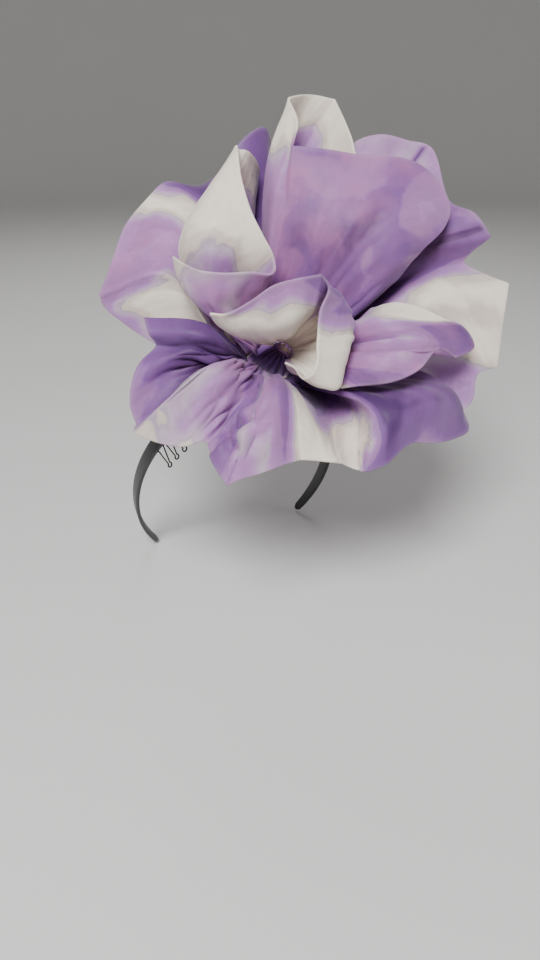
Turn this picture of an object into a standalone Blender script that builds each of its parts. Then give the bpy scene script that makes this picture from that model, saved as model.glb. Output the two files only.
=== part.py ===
"""Ruffle headband: a large gathered cloth ruffle on a slim plain band, with a bent wire comb at one side.

Units are metres, with +Z up. The origin is the inner face of the band at the crown of the head.
The wearer looks along -Y, and the wearer's left is +X. Tables are in millimetres.
"""
import math
from collections import namedtuple

import bmesh
import bpy
from mathutils import Euler, Matrix, Vector

MM = 0.001
COLLECTION_NAME = "ruffle_headband"

# Gap between pieces that rest on each other
SEAT_GAP = 0.3 * MM

# Band, an ellipse that leans back towards the ears
BAND_HALF_SPAN = 68.0 * MM
BAND_DROP = 80.0 * MM
BAND_LEAN = math.radians(20)
BAND_END_ANGLE = math.radians(128)
BAND_WIDTH = 11.0 * MM
BAND_TIP_WIDTH = 6.0 * MM
BAND_THICKNESS = 2.4 * MM
BAND_EDGE_RADIUS = 0.5 * MM
BAND_STEPS = 36

# Gathered core, the bound bundle of cloth between the band and the middle of the ruffle
GATHER_CENTRE = Vector((10.0, -28.0, 31.0)) * MM
CORE_FOOT_RADII = (17.0 * MM, 8.0 * MM)
CORE_HEAD_RADII = (11.0 * MM, 9.5 * MM)
CORE_DOME_START = 0.7
CORE_DOME_LENGTH = 0.35
CORE_PLEATS = 14
CORE_PLEAT_DEPTH = 0.8 * MM
CORE_RINGS = 6
CORE_ROOT_CLEARANCE = 0.9 * MM

# Ruffle cloth, two layers folded at the rim, facing the front and the wearer's right
FACING_YAW = math.radians(-23)
FACING_TILT = math.radians(18)
CLOTH_THICKNESS = 1.6 * MM
STEPS_ALONG = 3
STEPS_ACROSS = 3
ROOT_THINNING = 0.6

# Wire comb, on the front edge of the band at the wearer's right
COMB_TEETH = 6
COMB_FIRST_ANGLE = math.radians(-53)
COMB_PITCH = 7.0 * MM
COMB_TOOTH_LENGTH = 14.0 * MM
COMB_EYE_RADIUS = 1.5 * MM
COMB_NECK = 1.5 * MM
COMB_WIRE_RADIUS = 0.45 * MM
COMB_LEG_SPREAD = 0.34
COMB_EYE_STEPS = 8
COMB_REACH = (0.12, -1.0, -0.04)

# One section of a ruffle runs from its root on the core, over its belly, to its rim.
# The clock is in degrees, from the right and upwards; the level is 0 at the band and 1 at the gather centre.
# Belly and rim are millimetres from the gather centre: across to the right, up, and out to the front.
# The crease is 0 on a smooth section, 1 where the rim alone turns a corner, and 2 on a fold line.
Section = namedtuple(
    "Section", "fold clock level belly_across belly_up belly_out rim_across rim_up rim_out crease")

OUTER_RUFFLE = [
    # fold            clock level  belly          rim          crease
    ("left_tuck",      191, 0.20, -46, 3, -9, -62, -2, -10, 0),
    ("left_fall",      182, 0.20, -51, 17, -4, -87, 14, -8, 0),
    ("left_fall",      174, 0.20, -57, 29, 0, -99, 25, -6, 0),
    ("left_ridge",     168, 0.20, -62, 40, 3, -100, 30, -4, 2),
    ("left_face",      160, 0.20, -61, 51, -6, -93, 52, -12, 0),
    ("left_face",      152, 0.20, -56, 61, -10, -87, 69, -18, 0),
    ("left_crown",     144, 0.20, -50, 67, -13, -75, 83, -20, 0),
    ("left_crown",     136, 0.20, -43, 71, -16, -65, 92, -22, 0),
    ("left_crown",     128, 0.20, -38, 70, -20, -47, 91, -26, 0),
    ("top_valley",     120, 0.20, -29, 75, -24, -34, 101, -32, 0),
    ("top_cap",        112, 0.20, -19, 81, -28, -22, 117, -32, 0),
    ("top_cap",        104, 0.20, -10, 85, -36, -10, 125, -40, 0),
    ("back_fold",       99, 0.20, -6, 74, -50, -4, 106, -72, 0),
    ("back_ridge",      95, 0.20, 3, 82, -46, 6, 121, -56, 0),
    ("back_fold",       90, 0.20, 10, 72, -56, 16, 98, -84, 0),
    ("back_ridge",      86, 0.20, 18, 81, -48, 27, 119, -60, 0),
    ("back_fold",       82, 0.20, 24, 72, -55, 36, 102, -76, 0),
    ("right_pleat",     78, 0.20, 29, 80, -43, 43, 119, -47, 0),
    ("right_crown",     72, 0.20, 38, 79, -38, 57, 122, -42, 0),
    ("right_crown",     64, 0.20, 49, 77, -36, 74, 119, -44, 0),
    ("right_crown",     56, 0.20, 55, 73, -30, 85, 113, -36, 0),
    ("right_fall",      48, 0.20, 60, 62, -24, 94, 82, -24, 0),
    ("right_peak",      40, 0.20, 66, 55, -16, 106, 74, -16, 0),
    ("right_peak",      32, 0.20, 70, 48, -14, 115, 62, -14, 1),
    ("right_valley",    24, 0.20, 66, 38, -16, 102, 49, -20, 0),
    ("side_wing",       16, 0.20, 70, 31, -8, 113, 42, -16, 0),
    ("side_wing",        8, 0.20, 74, 23, -4, 125, 36, -10, 1),
    ("side_wing",        0, 0.20, 76, 10, -2, 121, 12, -4, 0),
    ("side_wing",       -8, 0.20, 75, 1, -4, 119, -9, -2, 1),
    ("side_fall",      -16, 0.20, 72, -7, -8, 109, -13, -4, 0),
    ("side_fall",      -24, 0.20, 66, -15, -10, 106, -29, -4, 0),
    ("side_tuck",      -34, 0.20, 53, -24, -15, 86, -42, -10, 0),
]

TOP_RUFFLE = [
    # fold            clock level  belly          rim          crease
    ("panel_tuck",      18, 0.50, 44, 24, 1, 60, 37, 0, 0),
    ("panel_right",     26, 0.50, 55, 41, 10, 73, 52, 3, 0),
    ("panel_right",     34, 0.50, 56, 54, 14, 86, 65, -1, 0),
    ("panel_right",     42, 0.50, 52, 62, 14, 89, 77, -5, 0),
    ("panel_shoulder",   50, 0.50, 46, 66, 10, 79, 93, -8, 0),
    ("panel_shoulder",   58, 0.50, 37, 66, 6, 65, 100, -8, 0),
    ("panel_face",      66, 0.50, 24, 66, 4, 39, 102, -5, 0),
    ("panel_face",      74, 0.50, 12, 67, 0, 22, 103, 0, 0),
    ("panel_corner",    82, 0.50, 2, 67, -3, 4, 104, 2, 1),
    ("loop_face",       89, 0.49, -5, 82, -2, 7, 118, -4, 0),
    ("loop_apex",       95, 0.46, -10, 96, -12, 2, 132, -12, 2),
    ("loop_back",       92, 0.38, -2, 108, -30, 16, 139, -30, 0),
    ("loop_crease",     84, 0.34, 17, 121, -36, 29, 138, -34, 2),
    ("loop_right",      77, 0.36, 28, 104, -28, 37, 115, -20, 0),
    ("loop_tuck",       70, 0.40, 31, 92, -18, 39, 101, -12, 0),
]

LEFT_RUFFLE = [
    # fold            clock level  belly          rim          crease
    ("lip_turn",       200, 0.80, -48, 31, 15, -53, 45, 17, 0),
    ("lip_corner",     187, 0.80, -51, 32, 24, -55, 46, 26, 0),
    ("lip",            175, 0.80, -42, 25, 28, -44, 39, 34, 0),
    ("lip",            164, 0.80, -32, 22, 27, -30, 37, 34, 0),
    ("lip",            153, 0.80, -21, 24, 22, -17, 38, 31, 0),
    ("lip_end",        141, 0.80, -12, 27, 17, -6, 38, 27, 0),
    ("cone_foot",      126, 0.72, -11, 33, 10, -5, 46, 19, 0),
    ("cone_edge",      128, 0.64, -23, 40, 15, -11, 57, 20, 0),
    ("cone_edge",      132, 0.60, -31, 43, 20, -17, 69, 20, 0),
    ("cone_edge",      138, 0.60, -40, 47, 22, -22, 86, 16, 0),
    ("cone_face",      146, 0.60, -50, 49, 18, -24, 102, 8, 0),
    ("cone_turn",      152, 0.56, -55, 51, 9, -25, 104, 2, 0),
    ("cone_back",      148, 0.52, -47, 57, 1, -24, 104, -4, 0),
    ("cone_back",      138, 0.50, -34, 61, -5, -20, 104, -6, 0),
    ("cone_back",      126, 0.50, -22, 62, -11, -16, 103, -14, 0),
    ("cone_tuck",      116, 0.50, -17, 62, -20, -13, 99, -25, 0),
]

CENTRE_RUFFLE = [
    # fold            clock level  belly          rim          crease
    ("curl_tail",      174, 1.00, -33, 12, 23, -37, 18, 33, 0),
    ("curl_left",      162, 1.00, -26, 10, 29, -28, 18, 39, 0),
    ("curl_left",      150, 1.00, -19, 11, 34, -17, 23, 43, 0),
    ("curl_ridge",     134, 1.00, -8, 11, 37, -6, 30, 46, 0),
    ("curl_ridge",     114, 1.00, 3, 14, 39, 5, 33, 49, 0),
    ("curl_peak",       92, 1.00, 14, 20, 40, 17, 35, 50, 2),
    ("roll_top",        70, 1.00, 27, 27, 34, 21, 29, 47, 0),
    ("roll_right",      48, 1.00, 33, 19, 30, 17, 18, 46, 0),
    ("roll_right",      24, 1.00, 34, 7, 30, 16, 5, 47, 0),
    ("roll_right",       0, 1.00, 31, -7, 34, 16, -5, 49, 0),
    ("roll_point",     -24, 1.00, 27, -19, 38, 14, -11, 49, 0),
    ("roll_low",       -45, 1.00, 19, -18, 38, 10, -13, 46, 0),
    ("roll_low",       -62, 1.00, 11, -14, 32, 6, -9, 38, 0),
    ("roll_tuck",      -80, 1.00, 3, -9, 20, 1, -6, 26, 0),
]

RIGHT_RUFFLE = [
    # fold            clock level  belly          rim          crease
    ("shell_tuck",      40, 0.90, 36, 13, 6, 47, 22, 6, 0),
    ("shell_top",       32, 0.90, 43, 16, 16, 60, 24, 14, 0),
    ("shell_top",       24, 0.90, 51, 14, 24, 84, 16, 20, 0),
    ("shell_hook",      18, 0.90, 58, 11, 27, 96, 11, 15, 0),
    ("shell_hook",      12, 0.90, 64, 6, 26, 102, 2, 10, 0),
    ("shell_hook",       6, 0.90, 63, 2, 32, 92, -3, 17, 0),
    ("shell_face",      -1, 0.90, 57, 0, 36, 79, 2, 29, 0),
    ("shell_face",      -9, 0.90, 49, -6, 36, 68, -9, 35, 0),
    ("shell_low",      -17, 0.90, 41, -10, 34, 54, -15, 38, 0),
    ("shell_low",      -26, 0.90, 34, -12, 28, 40, -17, 35, 0),
    ("shell_point",    -36, 0.90, 26, -13, 17, 30, -19, 26, 0),
]

FRONT_RUFFLE = [
    # fold            clock level  belly          rim          crease
    ("bulge",          176, 0.60, -44, 14, 12, -74, 17, 8, 0),
    ("bulge",          182, 0.60, -44, 8, 18, -71, 9, 14, 0),
    ("bulge_valley",   188, 0.60, -46, 0, 14, -68, 3, 8, 0),
    ("bulge_low",      194, 0.62, -52, -2, 16, -78, -9, 14, 0),
    ("bulge_low",      200, 0.62, -59, -10, 12, -82, -27, 16, 0),
    ("bulge_tuck",     206, 0.64, -47, -17, 12, -79, -39, 16, 2),
    ("crest",          212, 0.73, -41, -8, 42, -77, -41, 35, 2),
    ("left_petal",     220, 0.74, -31, -14, 38, -63, -46, 38, 0),
    ("left_petal",     227, 0.74, -24, -19, 32, -50, -47, 42, 0),
    ("left_notch",     233, 0.74, -18, -21, 28, -39, -45, 40, 0),
    ("corner",         238, 0.74, -15, -25, 36, -36, -53, 50, 0),
    ("corner_tip",     244, 0.74, -11, -19, 50, -28, -64, 58, 2),
    ("middle_petal",   252, 0.74, -8, -20, 53, -22, -61, 58, 0),
    ("middle_petal",   259, 0.74, -4, -20, 53, -11, -58, 56, 0),
    ("middle_petal",   266, 0.74, 0, -20, 50, 0, -54, 54, 0),
    ("middle_petal",   272, 0.74, 4, -22, 48, 8, -52, 52, 2),
    ("pocket_lip",     279, 0.72, 9, -25, 42, 17, -53, 50, 0),
    ("pocket_lip",     286, 0.72, 15, -30, 28, 24, -54, 50, 0),
    ("pocket",         294, 0.68, 23, -26, 4, 29, -55, 46, 0),
    ("pocket",         306, 0.68, 34, -27, 4, 36, -58, 46, 0),
    ("roll_edge",      318, 0.63, 43, -30, 40, 42, -59, 47, 2),
    ("roll",           324, 0.60, 50, -30, 43, 51, -56, 44, 0),
    ("roll",           329, 0.60, 59, -28, 42, 59, -49, 41, 0),
    ("roll",           333, 0.60, 68, -26, 37, 66, -46, 36, 0),
    ("roll",           337, 0.60, 78, -24, 31, 78, -47, 30, 0),
    ("roll_end",       341, 0.60, 86, -23, 22, 90, -46, 22, 0),
    ("roll_end",       345, 0.60, 90, -20, 12, 100, -42, 14, 0),
    ("roll_back",      351, 0.60, 82, -14, 4, 98, -31, 6, 0),
    ("roll_tuck",      360, 0.60, 67, -9, 0, 82, -20, 0, 0),
]

RUFFLES = {
    "outer_ruffle": (OUTER_RUFFLE, (0.47, 0.33, 0.53)),
    "top_ruffle": (TOP_RUFFLE, (0.43, 0.28, 0.50)),
    "left_ruffle": (LEFT_RUFFLE, (0.76, 0.68, 0.62)),
    "centre_ruffle": (CENTRE_RUFFLE, (0.76, 0.69, 0.62)),
    "right_ruffle": (RIGHT_RUFFLE, (0.58, 0.38, 0.60)),
    "front_ruffle": (FRONT_RUFFLE, (0.35, 0.20, 0.42)),
}

BLACK = (0.012, 0.012, 0.013)
CORE_COLOUR = (0.72, 0.65, 0.58)

BAND_TURN = Matrix.Rotation(BAND_LEAN, 3, "X")
BAND_NORMAL = BAND_TURN @ Vector((0, 0, 1))
CORE_FOOT = BAND_NORMAL * (BAND_THICKNESS + SEAT_GAP)
CORE_AXIS = (GATHER_CENTRE - CORE_FOOT).normalized()
FACING = Euler((-FACING_TILT, 0, FACING_YAW)).to_matrix()


def clear_scene():
    for item in list(bpy.data.objects):
        bpy.data.objects.remove(item, do_unlink=True)


def make_material(name, colour, roughness, metallic=0.0):
    material = bpy.data.materials.new(name)
    material.use_nodes = True
    shader = material.node_tree.nodes["Principled BSDF"]
    shader.inputs["Base Color"].default_value = (*colour, 1)
    shader.inputs["Roughness"].default_value = roughness
    shader.inputs["Metallic"].default_value = metallic
    return material


def add_object(name, mesh, material, collection):
    item = bpy.data.objects.new(name, mesh)
    mesh.materials.append(material)
    collection.objects.link(item)
    return item


def mesh_from_grid(name, rows, wrap=False):
    """A mesh of quads over rows of points; wrap closes each row into a ring and caps both ends."""
    bm = bmesh.new()
    grid = [[bm.verts.new(point) for point in row] for row in rows]
    for lower, upper in zip(grid, grid[1:]):
        count = len(lower)
        for i in range(count if wrap else count - 1):
            j = (i + 1) % count
            bm.faces.new((lower[i], lower[j], upper[j], upper[i]))
    if wrap:
        bm.faces.new(list(reversed(grid[0])))
        bm.faces.new(grid[-1])
    bmesh.ops.recalc_face_normals(bm, faces=bm.faces)
    mesh = bpy.data.meshes.new(name)
    bm.to_mesh(mesh)
    bm.free()
    mesh.shade_smooth()
    return mesh


def band_point(angle, across=0.0, lift=0.0):
    """A point of the band at an angle from the crown, across its width and above its inner face."""
    normal = Vector((math.sin(angle) / BAND_HALF_SPAN, 0, math.cos(angle) / BAND_DROP)).normalized()
    point = Vector((BAND_HALF_SPAN * math.sin(angle), across, BAND_DROP * (math.cos(angle) - 1)))
    return point + normal * lift


def build_headband(collection):
    rows = []
    for step in range(BAND_STEPS + 1):
        share = 2 * step / BAND_STEPS - 1
        half_width = (BAND_WIDTH + (BAND_TIP_WIDTH - BAND_WIDTH) * share ** 4) / 2
        angle = BAND_END_ANGLE * share
        rows.append([band_point(angle, half_width * side) for side in (-1, 1)])
    mesh = mesh_from_grid("headband", rows)
    band = add_object("headband", mesh, make_material("black_band", BLACK, 0.45), collection)
    band.rotation_euler = (BAND_LEAN, 0, 0)
    wall = band.modifiers.new("wall", "SOLIDIFY")
    wall.thickness = BAND_THICKNESS
    wall.offset = 1 if mesh.polygons[BAND_STEPS // 2].normal.z > 0 else -1
    edge = band.modifiers.new("edge", "BEVEL")
    edge.width = BAND_EDGE_RADIUS
    edge.segments = 2
    edge.angle_limit = math.radians(50)


def core_frame(level):
    """Centre, two side directions and two radii of the core at a level between the band and the gather."""
    normal = BAND_NORMAL.lerp(CORE_AXIS, min(1, 2 * level)).normalized()
    right = FACING @ Vector((1, 0, 0))
    right = (right - normal * right.dot(normal)).normalized()
    up = normal.cross(right)
    dome = math.sqrt(1 - (max(0, level - CORE_DOME_START) / CORE_DOME_LENGTH) ** 2)
    radii = [(foot + (head - foot) * level) * dome for foot, head in zip(CORE_FOOT_RADII, CORE_HEAD_RADII)]
    return CORE_FOOT.lerp(GATHER_CENTRE, level), right, up, radii


def core_point(level, clock, clearance=0.0):
    centre, right, up, radii = core_frame(level)
    across = math.cos(clock) * (radii[0] + clearance)
    rise = math.sin(clock) * (radii[1] + clearance)
    return centre + right * across + up * rise


def build_core(collection):
    rows = []
    for ring in range(CORE_RINGS + 1):
        points = []
        for i in range(2 * CORE_PLEATS):
            clock = math.pi * i / CORE_PLEATS
            points.append(core_point(ring / CORE_RINGS, clock, -CORE_PLEAT_DEPTH * (i % 2)))
        rows.append(points)
    mesh = mesh_from_grid("gathered_core", rows, wrap=True)
    add_object("gathered_core", mesh, make_material("core_cloth", CORE_COLOUR, 0.8), collection)


def spline(points, steps, corners=()):
    """Points on a centripetal curve through the given ones, which turns sharply at the corners."""
    result = []
    stops = [0, *corners, len(points) - 1]
    for low, high in zip(stops, stops[1:]):
        run = points[low:high + 1]
        guides = [run[0] * 2 - run[1], *run, run[-1] * 2 - run[-2]]
        for i in range(1, len(guides) - 2):
            p0, p1, p2, p3 = guides[i - 1:i + 3]
            t0 = math.sqrt(max((p1 - p0).length, 1e-9))
            t1 = math.sqrt(max((p2 - p1).length, 1e-9))
            t2 = math.sqrt(max((p3 - p2).length, 1e-9))
            start = ((p1 - p0) / t0 - (p2 - p0) / (t0 + t1) + (p2 - p1) / t1) * t1
            finish = ((p2 - p1) / t1 - (p3 - p1) / (t1 + t2) + (p3 - p2) / t2) * t1
            for step in range(steps):
                t = step / steps
                result.append(
                    p1 * (2 * t ** 3 - 3 * t ** 2 + 1) + start * (t ** 3 - 2 * t ** 2 + t)
                    + p2 * (3 * t ** 2 - 2 * t ** 3) + finish * (t ** 3 - t ** 2))
    result.append(points[-1])
    return result


def ruffle_rows(table, steps_along, steps_across):
    """Rows of points of a ruffle in the frame of the gather, each from the core to the rim."""
    sections = [Section(*row) for row in table]
    into_gather = FACING.transposed()
    roots = []
    for section in sections:
        root = core_point(section.level, math.radians(section.clock), CORE_ROOT_CLEARANCE)
        roots.append(into_gather @ (root - GATHER_CENTRE))
    bellies = [Vector((s.belly_across, -s.belly_out, s.belly_up)) * MM for s in sections]
    rims = [Vector((s.rim_across, -s.rim_out, s.rim_up)) * MM for s in sections]
    folds = [i for i, section in enumerate(sections) if section.crease == 2]
    corners = [i for i, section in enumerate(sections) if section.crease >= 1]
    lines = [
        spline(roots, steps_along),
        spline(bellies, steps_along, folds),
        spline(rims, steps_along, corners),
    ]
    rows = []
    for root, belly, rim in zip(*lines):
        rows.append(spline([root, belly, rim], steps_across))
    return rows


def build_ruffles(collection):
    gather = bpy.data.objects.new("gather_centre", None)
    gather.location = GATHER_CENTRE
    gather.rotation_euler = (-FACING_TILT, 0, FACING_YAW)
    collection.objects.link(gather)
    for name, (table, colour) in RUFFLES.items():
        mesh = mesh_from_grid(name, ruffle_rows(table, STEPS_ALONG, STEPS_ACROSS))
        cloth = add_object(name, mesh, make_material(name + "_cloth", colour, 0.7), collection)
        cloth.parent = gather
        group = cloth.vertex_groups.new(name="thickness")
        row_length = 2 * STEPS_ACROSS + 1
        for i in range(len(mesh.vertices)):
            share = min(1, (i % row_length) / STEPS_ACROSS)
            group.add([i], ROOT_THINNING + (1 - ROOT_THINNING) * share, "REPLACE")
        wall = cloth.modifiers.new("wall", "SOLIDIFY")
        wall.thickness = CLOTH_THICKNESS
        wall.offset = 0
        wall.vertex_group = group.name


def comb_wire():
    """The wire's path: for each tooth out from the band, round an open eye and back."""
    front = -(BAND_WIDTH / 2 + COMB_WIRE_RADIUS + SEAT_GAP)
    lift = BAND_THICKNESS / 2
    arc = COMB_PITCH / math.hypot(BAND_HALF_SPAN * math.cos(COMB_FIRST_ANGLE),
                                  BAND_DROP * math.sin(COMB_FIRST_ANGLE))
    half_open = math.asin(COMB_NECK / 2 / COMB_EYE_RADIUS)
    path = []
    for tooth in range(COMB_TEETH):
        angle = COMB_FIRST_ANGLE + arc * tooth
        foot_near = band_point(angle - arc * COMB_LEG_SPREAD, front, lift)
        foot_far = band_point(angle + arc * COMB_LEG_SPREAD, front, lift)
        along = (foot_far - foot_near).normalized()
        reach = Vector(COMB_REACH).normalized()
        side = (along - reach * along.dot(reach)).normalized()
        eye = (foot_near + foot_far) / 2 + reach * COMB_TOOTH_LENGTH
        path.append(foot_near)
        for step in range(COMB_EYE_STEPS + 1):
            turn = half_open + (2 * math.pi - 2 * half_open) * step / COMB_EYE_STEPS
            path.append(eye - reach * COMB_EYE_RADIUS * math.cos(turn) - side * COMB_EYE_RADIUS * math.sin(turn))
        path.append(foot_far)
    return path


def build_comb(collection):
    curve = bpy.data.curves.new("side_comb", "CURVE")
    curve.dimensions = "3D"
    curve.bevel_depth = COMB_WIRE_RADIUS
    curve.bevel_resolution = 1
    curve.use_fill_caps = True
    path = comb_wire()
    line = curve.splines.new("POLY")
    line.points.add(len(path) - 1)
    for point, place in zip(line.points, path):
        point.co = (*place, 1)
    comb = bpy.data.objects.new("side_comb", curve)
    curve.materials.append(make_material("black_wire", BLACK, 0.35, 0.6))
    comb.rotation_euler = (BAND_LEAN, 0, 0)
    collection.objects.link(comb)


def main():
    clear_scene()
    collection = bpy.data.collections.new(COLLECTION_NAME)
    bpy.context.scene.collection.children.link(collection)
    build_headband(collection)
    build_core(collection)
    build_ruffles(collection)
    build_comb(collection)


main()
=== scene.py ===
"""Looks of the ruffle headband: dyed cloth ruffles, gathered core, black band, wire comb and stage."""
import math
from collections import namedtuple

import bmesh
import bpy
import numpy as np
from mathutils import Euler, Matrix, Vector, noise


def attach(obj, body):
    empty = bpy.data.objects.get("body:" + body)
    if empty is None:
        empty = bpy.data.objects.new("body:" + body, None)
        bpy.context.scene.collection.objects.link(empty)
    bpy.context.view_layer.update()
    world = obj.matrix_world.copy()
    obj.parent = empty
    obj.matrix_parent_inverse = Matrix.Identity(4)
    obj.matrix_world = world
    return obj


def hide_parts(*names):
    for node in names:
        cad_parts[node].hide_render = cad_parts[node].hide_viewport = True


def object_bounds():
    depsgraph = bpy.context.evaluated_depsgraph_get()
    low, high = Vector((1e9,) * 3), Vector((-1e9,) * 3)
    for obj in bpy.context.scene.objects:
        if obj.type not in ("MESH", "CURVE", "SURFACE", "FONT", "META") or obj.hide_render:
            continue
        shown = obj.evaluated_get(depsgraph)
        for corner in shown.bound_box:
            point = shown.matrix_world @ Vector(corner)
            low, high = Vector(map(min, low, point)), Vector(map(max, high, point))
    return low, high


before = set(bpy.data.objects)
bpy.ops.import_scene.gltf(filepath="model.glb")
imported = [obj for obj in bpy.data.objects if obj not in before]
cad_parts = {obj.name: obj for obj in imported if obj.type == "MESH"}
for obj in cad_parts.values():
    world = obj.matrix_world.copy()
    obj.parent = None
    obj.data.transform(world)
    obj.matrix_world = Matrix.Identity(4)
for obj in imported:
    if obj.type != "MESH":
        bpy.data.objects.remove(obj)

bl_info = {
    "name": "Ruffle headband",
    "version": (1, 0, 0),
    "blender": (4, 5, 0),
    "location": "3D View > Sidebar > Ruffle",
    "description": "Builds a dyed cloth ruffle headband and its stage",
    "category": "Add Mesh",
}

BODY = "root"
MM = 0.001
TINY = 1e-9
CAD_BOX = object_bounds()

# Frame of the ruffle: the gather centre, and the way the ruffle faces
GATHER_CENTRE = Vector((10.0, -28.0, 31.0)) * MM
FACING_YAW = math.radians(-23)
FACING_TILT = math.radians(18)
FACING = Euler((-FACING_TILT, 0, FACING_YAW)).to_matrix()
CORE_ROOT_CLEARANCE = 0.9 * MM

# Band, an ellipse that leans back
BAND_HALF_SPAN = 68.0 * MM
BAND_DROP = 80.0 * MM
BAND_LEAN = math.radians(20)
BAND_END_ANGLE = math.radians(128)
BAND_WIDTH = 11.0 * MM
BAND_TIP_WIDTH = 6.0 * MM
BAND_THICKNESS = 2.4 * MM
SEAT_GAP = 0.3 * MM
BAND_NORMAL = Matrix.Rotation(BAND_LEAN, 3, "X") @ Vector((0, 0, 1))

# Core, the bound bundle of cloth between band and gather
CORE_FOOT = BAND_NORMAL * (BAND_THICKNESS + SEAT_GAP)
CORE_AXIS = (GATHER_CENTRE - CORE_FOOT).normalized()
CORE_FOOT_RADII = (17.0 * MM, 8.0 * MM)
CORE_HEAD_RADII = (11.0 * MM, 9.5 * MM)
CORE_DOME_START = 0.7
CORE_DOME_LENGTH = 0.35

# A section runs from its root on the core, over its belly, to its rim.
# Clock in degrees from the right and upwards; level 0 at the band, 1 at the gather centre.
# Belly and rim in millimetres from the gather centre: across to the right, up, out to the front.
# Crease: 0 smooth, 1 a corner in the rim, 2 a fold line.
# Dye from 0 ivory to 1 deep violet, at the root, the belly, near the rim and on the rim; blush 0 to 1. In
# the marked rows the dye is deepened as painted shade.
Section = namedtuple(
    "Section",
    "fold clock level belly_across belly_up belly_out rim_across rim_up rim_out crease "
    "dye_root dye_belly dye_near dye_rim blush")
CORNER = 1
FOLD_LINE = 2

OUTER_RUFFLE = [
    # fold            clock level  belly          rim          crease  dye                  blush
    ("left_tuck",       191, 0.20, -46, 3, -9, -62, -2, -10, 0, 0.10, 0.05, 0.10, 0.35, 0.0),
    ("left_fall",       182, 0.20, -51, 17, -4, -87, 14, -8, 0, 0.10, 0.00, 0.10, 0.45, 0.0),
    ("left_fall",       174, 0.20, -57, 29, 0, -99, 25, -6, 0, 0.10, 0.00, 0.15, 0.50, 0.1),
    ("left_ridge",      168, 0.20, -62, 40, 3, -100, 30, -4, 2, 0.10, 0.20, 0.55, 0.55, 0.4),
    ("left_face",       160, 0.20, -61, 51, -6, -93, 52, -12, 0, 0.40, 0.48, 0.55, 0.45, 0.9),
    ("left_face",       152, 0.20, -56, 61, -10, -87, 69, -18, 0, 0.40, 0.44, 0.50, 0.40, 0.9),
    ("left_crown",      144, 0.20, -50, 67, -13, -75, 83, -20, 0, 0.30, 0.00, 0.00, 0.00, 0.0),
    ("left_crown",      136, 0.20, -43, 71, -16, -65, 92, -22, 0, 0.30, 0.05, 0.10, 0.75, 0.0),
    ("left_crown",      128, 0.20, -38, 70, -20, -47, 91, -26, 0, 0.50, 0.30, 0.75, 0.85, 0.0),
    ("top_valley",      120, 0.20, -29, 75, -24, -34, 101, -32, 0, 0.50, 0.60, 0.75, 0.80, 0.0),
    ("top_cap",         112, 0.20, -19, 81, -28, -22, 117, -32, 0, 0.50, 0.75, 0.80, 0.85, 0.0),
    ("top_cap",         104, 0.20, -10, 85, -36, -10, 125, -40, 0, 0.50, 0.70, 0.75, 0.80, 0.0),
    ("back_fold",        99, 0.20, -6, 74, -50, -4, 106, -72, 0, 0.50, 0.40, 0.35, 0.30, 0.2),
    ("back_ridge",       95, 0.20, 3, 82, -46, 6, 121, -56, 0, 0.50, 0.30, 0.15, 0.10, 0.0),
    ("back_fold",        90, 0.20, 10, 72, -56, 16, 98, -84, 0, 0.60, 0.50, 0.45, 0.55, 0.3),
    ("back_ridge",       86, 0.20, 18, 81, -48, 27, 119, -60, 0, 0.60, 0.60, 0.65, 0.70, 0.2),
    ("back_fold",        82, 0.20, 24, 72, -55, 36, 102, -76, 0, 0.50, 0.50, 0.45, 0.40, 0.3),
    ("right_pleat",      78, 0.20, 29, 80, -43, 43, 119, -47, 0, 0.50, 0.45, 0.42, 0.34, 0.3),
    ("right_crown",      72, 0.20, 38, 79, -38, 57, 122, -42, 0, 0.50, 0.45, 0.40, 0.38, 0.3),
    ("right_crown",      64, 0.20, 49, 77, -36, 74, 119, -44, 0, 0.50, 0.50, 0.42, 0.40, 0.3),
    ("right_crown",      56, 0.20, 55, 73, -30, 85, 113, -36, 0, 0.60, 0.55, 0.50, 0.46, 0.2),
    ("right_fall",       48, 0.20, 60, 62, -24, 94, 82, -24, 0, 0.75, 0.80, 0.70, 0.62, 0.3),
    # Right peak and valley: violet dye, partly deepened as painted shade under the peak.
    ("right_peak",       40, 0.20, 66, 55, -16, 106, 74, -16, 0, 0.85, 0.95, 0.92, 0.75, 0.3),
    ("right_peak",       32, 0.20, 70, 48, -14, 115, 62, -14, 1, 0.85, 1.00, 0.92, 0.70, 0.3),
    ("right_valley",     24, 0.20, 66, 38, -16, 102, 49, -20, 0, 0.85, 0.95, 0.80, 0.50, 0.1),
    ("side_wing",        16, 0.20, 70, 31, -8, 113, 42, -16, 0, 0.50, 0.36, 0.28, 0.20, 0.0),
    ("side_wing",         8, 0.20, 74, 23, -4, 125, 36, -10, 1, 0.45, 0.26, 0.15, 0.08, 0.0),
    ("side_wing",         0, 0.20, 76, 10, -2, 121, 12, -4, 0, 0.40, 0.24, 0.15, 0.06, 0.0),
    ("side_wing",        -8, 0.20, 75, 1, -4, 119, -9, -2, 1, 0.30, 0.22, 0.14, 0.08, 0.0),
    ("side_fall",       -16, 0.20, 72, -7, -8, 109, -13, -4, 0, 0.20, 0.30, 0.30, 0.28, 0.0),
    ("side_fall",       -24, 0.20, 66, -15, -10, 106, -29, -4, 0, 0.30, 0.34, 0.30, 0.28, 0.0),
    ("side_tuck",       -34, 0.20, 53, -24, -15, 86, -42, -10, 0, 0.50, 0.45, 0.38, 0.34, 0.1),
]

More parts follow.
